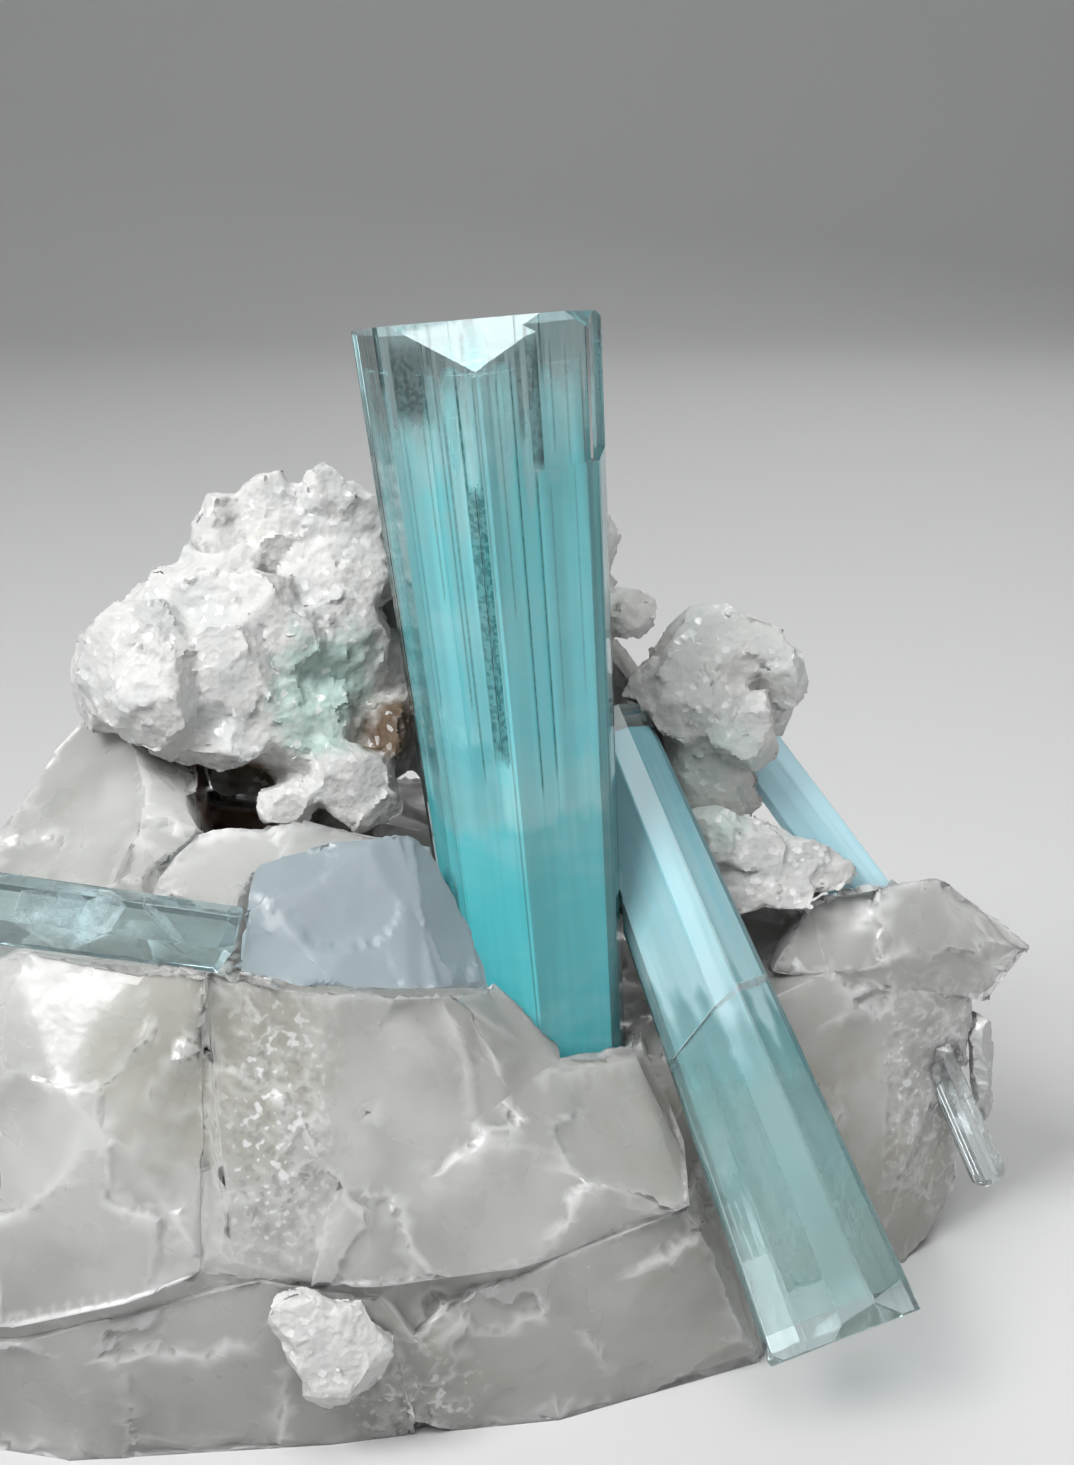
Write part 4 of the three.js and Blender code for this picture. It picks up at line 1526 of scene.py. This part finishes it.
@dataclass
class Quartz:
    """The quartz mass, broken into flat faces with thin steps between them, and crumbly in places.

    Column, foot and tip are the crumbly places. Column is the middle and the half size, in x and z, of the
    sparkling column on the front. Foot is the middle and the radius of the place at the ledge's foot. Tip is
    the height and the half height of the place near the point.
    """

    longest: float = 2.2
    border: float = 0.8
    broad: Facets = Facets(spacing=13.0, tilt=4.0, cut=0.7, fill=0.15, seed=41, ragged=1.6)
    middling: Facets = Facets(spacing=6.0, tilt=7.0, cut=0.28, fill=0.08, seed=42, ragged=1.6)
    crumbs: Facets = Facets(spacing=1.5, tilt=24.0, cut=0.4, fill=0.2, seed=43, ragged=1.0)
    rear: Facets = Facets(spacing=9.0, tilt=13.0, cut=1.5, fill=0.1, seed=44, ragged=1.6)
    rear_from: float = 8.0
    column: tuple[float, float, float, float] = (-18.5, 37.0, 5.0, 13.0)
    foot: tuple[float, float, float] = (-5.0, 4.0, 9.0)
    tip: tuple[float, float] = (22.0, 14.0)
    gap_reach: float = 3.0
    gap_voxel: float = 2.0
    sunk: float = 0.6
    core_ends: tuple[tuple[Vec3, Vec3], ...] = (
        ((0.0, -2.0, 0.0), (0.0, 1.0, 0.0)), ((45.0, 0.0, 0.0), (1.0, 0.0, 0.0)),
        ((0.0, 0.0, 46.0), (0.0, 0.0, 1.0)), ((0.0, 0.0, 1.0), (0.0, 0.0, -1.0)),
    )

    def crumbly(self, points: np.ndarray) -> np.ndarray:
        """Finds the crumbly places.

        Args:
            points: points in metres.

        Returns:
            How crumbly the quartz is at each point, from 0 to 1.
        """
        x, y, z = (points / MM).T
        across, up, wide, high = self.column
        column = np.clip(1.4 - np.abs(x - across) / wide, 0, 1) * np.clip(1.4 - np.abs(z - up) / high, 0, 1)
        column = column * (y < -18)
        across, up, radius = self.foot
        corner = np.clip(1 - np.hypot(x - across, z - up) / radius, 0, 1) * (y < -20)
        up, high = self.tip
        side = np.clip(1.2 - np.abs(z - up) / high, 0, 1) * (x > 50) * 0.8
        return np.clip(column + corner + side, 0, 1)

    def core(self) -> bmesh.types.BMesh:
        """What fills the deep narrow gaps between the front ledges.

        Returns:
            The quartz with its gaps closed up, a little shrunken and cut to its front part.
        """
        surface = closed_up(triangles_of("quartz_matrix"), self.gap_reach * MM, self.gap_voxel * MM)
        surface.points -= surface.normals * self.sunk * MM
        surface.write()
        for point, normal in self.core_ends:
            chopped(surface.bm, tuple(length * MM for length in point), normal)
        bmesh.ops.triangulate(surface.bm, faces=surface.bm.faces)
        return surface.bm

    def split_crumbs(self, surface: Surface) -> None:
        """Splits the long edges of the crumbly places once.

        Args:
            surface: the quartz.
        """
        crumb = self.crumbly(surface.points)
        surface.bm.verts.index_update()
        split_edges(surface.bm, [
            edge for edge in surface.bm.edges if edge.calc_length() > self.border * MM
            and min(crumb[vertex.index] for vertex in edge.verts) > 0.15
        ])
        surface.read()

    def build(self, looks: "Looks") -> None:
        """Builds and dresses the quartz.

        Args:
            looks: the materials.
        """
        bm = united(triangles_of("quartz_matrix"), self.core())
        refine(bm, self.longest * MM)
        surface = Surface(bm)
        self.split_crumbs(surface)
        middles = surface.middles(self.broad)
        surface.split_borders(self.broad, middles, self.border * MM)
        flat = surface.points[:, 2] < 0.02 * MM
        kept = surface.points[flat].copy()
        surface.break_faces(self.broad, None, middles)
        rearward = np.clip((surface.points[:, 1] / MM - self.rear_from) / 8.0, 0.0, 1.0)
        surface.break_faces(self.rear, rearward)
        surface.break_faces(self.middling, np.clip(surface.waves(16.0, 3) * 2.5, 0.0, 1.0))
        crumb = self.crumbly(surface.points)
        surface.break_faces(self.crumbs, crumb)
        surface.roughen(0.05, 3.0, None, 3)
        surface.points[flat] = kept
        surface.points[:, 2] = np.maximum(surface.points[:, 2], 0.0)
        surface.write()
        surface.store("crumb", crumb)
        surface.mark_rims(0.36)
        obj = from_bmesh("quartz_broken", bm)
        crisp(obj, 17)
        finished(obj, looks.quartz, Slot.QUARTZ, "quartz_matrix")


@dataclass
class Fragment:
    """The pale blue broken beryl at the foot of the tall crystal."""

    longest: float = 0.9
    faces: Facets = Facets(spacing=6.0, tilt=6.0, cut=0.4, fill=0.1, seed=31, ragged=1.4)

    def build(self, looks: "Looks") -> None:
        """Builds and dresses the fragment.

        Args:
            looks: the materials.
        """
        bm = triangles_of("beryl_fragment")
        refine(bm, self.longest * MM)
        surface = Surface(bm)
        surface.break_faces(self.faces)
        surface.roughen(0.06, 2.0, None, 5)
        surface.write()
        surface.mark_rims(0.30)
        obj = from_bmesh("beryl_fragment_broken", bm)
        crisp(obj, 20)
        finished(obj, looks.massive, Slot.PALE_BERYL, "beryl_fragment")


# Albite


@dataclass
class Flakes:
    """Small albite blades scattered over a surface by Geometry Nodes, with density and size in metres."""

    density: float
    size: float
    seed: int

    def tree(self, material: bpy.types.Material) -> tuple[bpy.types.NodeTree, dict[str, str]]:
        """Builds the tree.

        Args:
            material: what the flakes are dressed in.

        Returns:
            The tree, and the identifier of each of its inputs by name.
        """
        tree = bpy.data.node_groups.new("Albite flakes", "GeometryNodeTree")
        face = tree.interface
        face.new_socket(name="Geometry", in_out="INPUT", socket_type="NodeSocketGeometry")
        kinds = {"Density": "NodeSocketFloat", "Size": "NodeSocketFloat", "Seed": "NodeSocketInt"}
        for key, kind in kinds.items():
            face.new_socket(name=key, in_out="INPUT", socket_type=kind)
        face.new_socket(name="Geometry", in_out="OUTPUT", socket_type="NodeSocketGeometry")
        nodes = Nodes(tree)
        given = nodes.add("NodeGroupInput").outputs
        rim = nodes.add("GeometryNodeInputNamedAttribute", {"Name": "rim"}, data_type="FLOAT").outputs[0]
        density = nodes.math("MULTIPLY", given["Density"], nodes.math("MAXIMUM", rim, 0.06))
        points = nodes.add("GeometryNodeDistributePointsOnFaces", {
            "Mesh": given["Geometry"], "Density": density, "Seed": given["Seed"]}, distribute_method="RANDOM")
        plate = nodes.add("GeometryNodeMeshCylinder", {"Vertices": 6, "Radius": 1.0, "Depth": 0.42})
        lean = nodes.add("FunctionNodeRandomValue", {0: (-0.7, -0.7, -3.1), 1: (0.7, 0.7, 3.1),
                                                     "Seed": given["Seed"]}, data_type="FLOAT_VECTOR")
        turned = nodes.add("FunctionNodeRotateRotation", {
            "Rotation": points.outputs["Rotation"], "Rotate By": lean.outputs[0]}, rotation_space="LOCAL")
        spread = nodes.add("FunctionNodeRandomValue", {0: (0.5, 0.35, 0.5), 1: (1.5, 1.1, 1.3),
                                                       "Seed": given["Seed"]}, data_type="FLOAT_VECTOR")
        size = nodes.add("ShaderNodeVectorMath", {0: spread.outputs[0], "Scale": given["Size"]},
                         operation="SCALE")
        blades = nodes.add("GeometryNodeInstanceOnPoints", {
            "Points": points.outputs["Points"], "Instance": plate.outputs["Mesh"],
            "Rotation": turned.outputs[0], "Scale": size.outputs[0]})
        real = nodes.add("GeometryNodeRealizeInstances", {0: blades.outputs[0]})
        dressed = nodes.add("GeometryNodeSetMaterial", {"Geometry": real.outputs[0], "Material": material})
        nodes.add("NodeGroupOutput", {0: dressed.outputs[0]})
        names = {item.name: item.identifier for item in face.items_tree if item.in_out == "INPUT"}
        return tree, names

    def scatter(self, name: str, source: bpy.types.Object, material: bpy.types.Material) -> bpy.types.Object:
        """Scatters the flakes over a piece.

        Args:
            name: the new piece's name.
            source: the piece that they grow on.
            material: what they are dressed in.

        Returns:
            The flakes as one plain mesh.
        """
        tree, names = self.tree(material)
        carrier = linked(f"{name}_carrier", source.data.copy())
        modifier = carrier.modifiers.new("Flakes", "NODES")
        modifier.node_group = tree
        modifier[names["Density"]] = self.density
        modifier[names["Size"]] = self.size
        modifier[names["Seed"]] = self.seed
        grown = carrier.evaluated_get(bpy.context.evaluated_depsgraph_get())
        mesh = bpy.data.meshes.new_from_object(grown)
        mesh.name = name
        mesh.shade_flat()
        spare = carrier.data
        bpy.data.objects.remove(carrier)
        bpy.data.meshes.remove(spare)
        return linked(name, mesh)


@dataclass
class Albite:
    """A cluster of rounded albite blades with ragged rims, a sugary surface and small flakes."""

    node: str
    voxel: float = 0.42
    reach: float = 0.5
    filled: bool = False
    sharp_drop: float = 0.06
    flake_density: float = 90000.0
    flake_size: float = 0.42
    seed: int = 1

    def hull(self) -> bmesh.types.BMesh:
        """The node filled out to its convex hull, so that thin arms become one crust.

        Returns:
            The mesh.
        """
        bm = triangles_of(self.node)
        made = bmesh.ops.convex_hull(bm, input=bm.verts)
        inside = [item for item in made["geom_interior"] if isinstance(item, bmesh.types.BMVert)]
        bmesh.ops.delete(bm, geom=inside, context="VERTS")
        holes = [item for item in made["geom_holes"]
                 if isinstance(item, bmesh.types.BMFace) and item.is_valid]
        bmesh.ops.delete(bm, geom=holes, context="FACES_ONLY")
        return bm

    def build(self, looks: "Looks") -> None:
        """Builds and dresses the cluster.

        Args:
            looks: the materials.
        """
        blades = Facets(spacing=4.6, tilt=10.0, cut=0.45, fill=0.2, seed=self.seed, ragged=1.8)
        plates = Facets(spacing=1.5, tilt=18.0, cut=0.3, fill=0.1, seed=self.seed + 3, ragged=1.5)
        bm = self.hull() if self.filled else triangles_of(self.node)
        surface = closed_up(bm, self.reach * MM, self.voxel * MM)
        rim = np.clip(surface.soften(2) / (self.sharp_drop * MM), 0.0, 1.0)
        surface.break_faces(blades)
        surface.break_faces(plates, np.clip(surface.waves(7.0, 5) * 2, 0, 1))
        surface.roughen(0.12, 1.5, None, self.seed)
        surface.roughen(0.35, 0.9, rim, self.seed + 1)
        surface.write()
        surface.store("rim", rim)
        obj = from_bmesh(f"{self.node}_sugary", surface.bm)
        crisp(obj, 45)
        finished(obj, looks.albite, Slot.ALBITE, self.node)
        flakes = Flakes(self.flake_density, self.flake_size * MM, self.seed)
        finished(flakes.scatter(f"{self.node}_flakes", obj, looks.albite), looks.albite, Slot.ALBITE)


# Studio


@dataclass
class Studio:
    """Plain pale floor, soft lights and the camera at the photo's angle, with places in metres."""

    floor_tint: Rgb = (0.55, 0.55, 0.55)
    camera_place: Vec3 = (0.008, -0.212, 0.1394)
    camera_drop: float = 18.0
    air_tint: Rgb = (0.95, 0.98, 1.0)
    air_strength: float = 0.18

    def floor(self) -> None:
        """A pale sweep: a floor that curves up far behind."""
        bm = bmesh.new()
        front, back, bend, top, half = -1.6, 0.9, 0.6, 2.2, 3.0
        turns = np.linspace(0.1, math.pi / 2, 12)
        profile = [(front, 0.0), (back, 0.0)]
        profile += [(back + bend * math.sin(turn), bend - bend * math.cos(turn)) for turn in turns]
        profile.append((back + bend, top))
        rows = [[bm.verts.new((x, y, z)) for x in (-half, half)] for y, z in profile]
        for low, high in zip(rows, rows[1:]):
            bm.faces.new((low[0], low[1], high[1], high[0]))
        bmesh.ops.recalc_face_normals(bm, faces=bm.faces)
        obj = from_bmesh("studio_floor", bm)
        obj.data.shade_smooth()
        material, nodes, shader, _ = started("studio floor")
        nodes.give(shader, {"Base Color": (*self.floor_tint, 1.0), "Roughness": 0.6})
        obj.data.materials.append(material)

    def light(self, name: str, place: Vec3, aim: Vec3, size: float, power: float) -> None:
        """Adds a soft square light.

        Args:
            name: its name.
            place: where it is.
            aim: the point that it faces.
            size: its side.
            power: its power in watts.
        """
        data = bpy.data.lights.new(name, "AREA")
        data.shape = "SQUARE"
        data.size = size
        data.energy = power
        obj = bpy.data.objects.new(name, data)
        obj.location = place
        obj.rotation_euler = (Vector(aim) - Vector(place)).to_track_quat("-Z", "Y").to_euler()
        bpy.context.scene.collection.objects.link(obj)

    def camera(self) -> None:
        """The camera, which looks down on the specimen from straight in front."""
        data = bpy.data.cameras.new("camera")
        data.lens = 50.0
        data.sensor_width = 36.0
        data.clip_start = 0.01
        obj = bpy.data.objects.new("camera", data)
        obj.location = self.camera_place
        obj.rotation_euler = (math.radians(90 - self.camera_drop), 0.0, 0.0)
        bpy.context.scene.collection.objects.link(obj)
        bpy.context.scene.camera = obj

    def world(self) -> None:
        """An even pale surrounding."""
        world = bpy.data.worlds.new("studio")
        world.use_nodes = True
        background = world.node_tree.nodes["Background"]
        background.inputs["Color"].default_value = (*self.air_tint, 1.0)
        background.inputs["Strength"].default_value = self.air_strength
        bpy.context.scene.world = world

    def light_paths(self) -> None:
        """Plain colours, and light paths just long enough for clear crystals with milk inside them."""
        scene = bpy.context.scene
        scene.view_settings.view_transform = "Standard"
        scene.cycles.adaptive_threshold = 0.07
        scene.cycles.adaptive_min_samples = 10
        scene.cycles.use_light_tree = False
        scene.cycles.max_bounces = 6
        scene.cycles.diffuse_bounces = 2
        scene.cycles.transmission_bounces = 6
        scene.cycles.transparent_max_bounces = 6
        scene.cycles.caustics_refractive = False
        scene.cycles.caustics_reflective = False

    def build(self) -> None:
        """Sets the stage."""
        self.floor()
        self.light("key", place=(-0.48, -0.42, 0.75), aim=(0.0, 0.0, 0.05), size=0.40, power=9.6)
        self.light("top", place=(0.05, -0.30, 0.80), aim=(0.0, 0.0, 0.08), size=0.36, power=3.1)
        self.light("fill", place=(0.80, -0.45, 0.35), aim=(0.0, 0.0, 0.05), size=0.50, power=1.4)
        self.light("back", place=(0.25, 0.75, 0.55), aim=(0.0, 0.0, 0.06), size=0.40, power=1.6)
        self.camera()
        self.world()
        self.light_paths()


@dataclass
class Looks:
    """Every material of the specimen."""

    effects: Effects = field(default_factory=Effects)

    def __post_init__(self) -> None:
        """Builds the materials."""
        self.aquamarine = BerylFinish(
            "aquamarine tall", tint=(0.90, 0.99, 1.0), absorb=(0.34, 0.84, 0.86), density=30.0,
            transmission=0.96, tilt=TALL_TILT,
        ).material(self.effects)
        self.main_cloud = CloudFinish("aquamarine tall cloud", (
            Stop(40.0, (0.085, 0.72, 0.79), 1.0), Stop(60.0, (0.09, 0.74, 0.80), 1.0),
            Stop(66.0, (0.42, 0.96, 1.0), 1.0), Stop(74.0, (0.26, 0.92, 1.0), 1.0),
            Stop(94.0, (0.26, 0.90, 0.95), 1.0), Stop(101.0, (0.48, 0.84, 0.86), 0.85),
            Stop(106.0, (0.50, 0.80, 0.80), 0.4), Stop(110.0, (0.45, 0.75, 0.75), 0.0),
        ), TALL_TILT).material()
        self.leaning = BerylFinish(
            "aquamarine leaning", tint=(0.94, 0.99, 1.0), absorb=(0.46, 0.86, 0.88), density=22.0,
            transmission=0.96, tilt=LEANING_TILT,
        ).material(self.effects)
        self.leaning_cloud = CloudFinish("aquamarine leaning cloud", (
            Stop(14.0, (0.34, 0.56, 0.52), 0.2), Stop(30.0, (0.25, 0.56, 0.56), 0.35),
            Stop(37.0, (0.22, 0.60, 0.64), 0.45), Stop(42.0, (0.46, 0.72, 0.77), 0.8),
            Stop(60.0, (0.30, 0.66, 0.76), 0.9),
        ), LEANING_TILT, columns=0.35, milk=(0.52, 0.70, 0.73)).material()
        self.pale = BerylFinish(
            "pale beryl", tint=(0.66, 0.76, 0.77), absorb=(0.42, 0.82, 0.88), density=42.0, transmission=0.9,
            tilt=LEFT_TILT,
        ).material(self.effects)
        self.small = BerylFinish(
            "clear beryl", tint=(0.96, 0.99, 1.0), absorb=(0.6, 0.86, 0.9), density=25.0, transmission=0.94,
            tilt=SMALL_TILT,
        ).material(self.effects)
        self.misty = BerylFinish(
            "misty beryl", tint=(0.50, 0.76, 0.84), absorb=(0.5, 0.84, 0.92), density=30.0, transmission=0.35,
            rough=0.3, tilt=BACK_TILT,
        ).material(self.effects)
        self.massive = BerylFinish(
            "massive beryl", tint=(0.36, 0.42, 0.45), absorb=(0.62, 0.80, 0.86), density=20.0,
            transmission=0.35, rough=0.38, fine=420.0, broad=130.0, faint=0.25,
            streak_and_dark_reflection_tint=(0.28, 0.33, 0.35),
        ).material(self.effects)
        self.crack = VeilFinish("fresh crack", tint=(0.80, 0.90, 0.92), cover=0.8, low=0.12).material()
        self.veil = VeilFinish("healed crack", tint=(0.85, 0.93, 0.95), cover=0.5).material()
        self.quartz = QuartzFinish(
            "milky quartz", milk=(0.66, 0.665, 0.64), grey=(0.50, 0.505, 0.48), stain=(0.47, 0.43, 0.35),
            rust=(0.14, 0.06, 0.03),
        ).material(self.effects)
        self.albite = AlbiteFinish(
            "sugary albite", white=(0.57, 0.565, 0.545), shade=(0.48, 0.49, 0.485), green=(0.34, 0.48, 0.44),
            brown=(0.12, 0.08, 0.05),
        ).material(self.effects)


def main() -> None:
    """Builds the specimen and its studio."""
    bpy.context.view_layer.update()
    looks = Looks()
    Crystals().build(looks)
    Quartz().build(looks)
    Fragment().build(looks)
    Albite("albite_crest", seed=21).build(looks)
    Albite("albite_foot", voxel=0.36, seed=22).build(looks)
    Albite("albite_chip", voxel=0.3, seed=23).build(looks)
    Albite("albite_edge", voxel=0.25, reach=0.1, filled=True, seed=24).build(looks)
    Studio().build()
    log.info("specimen built")


if __name__ == "__main__":
    main()
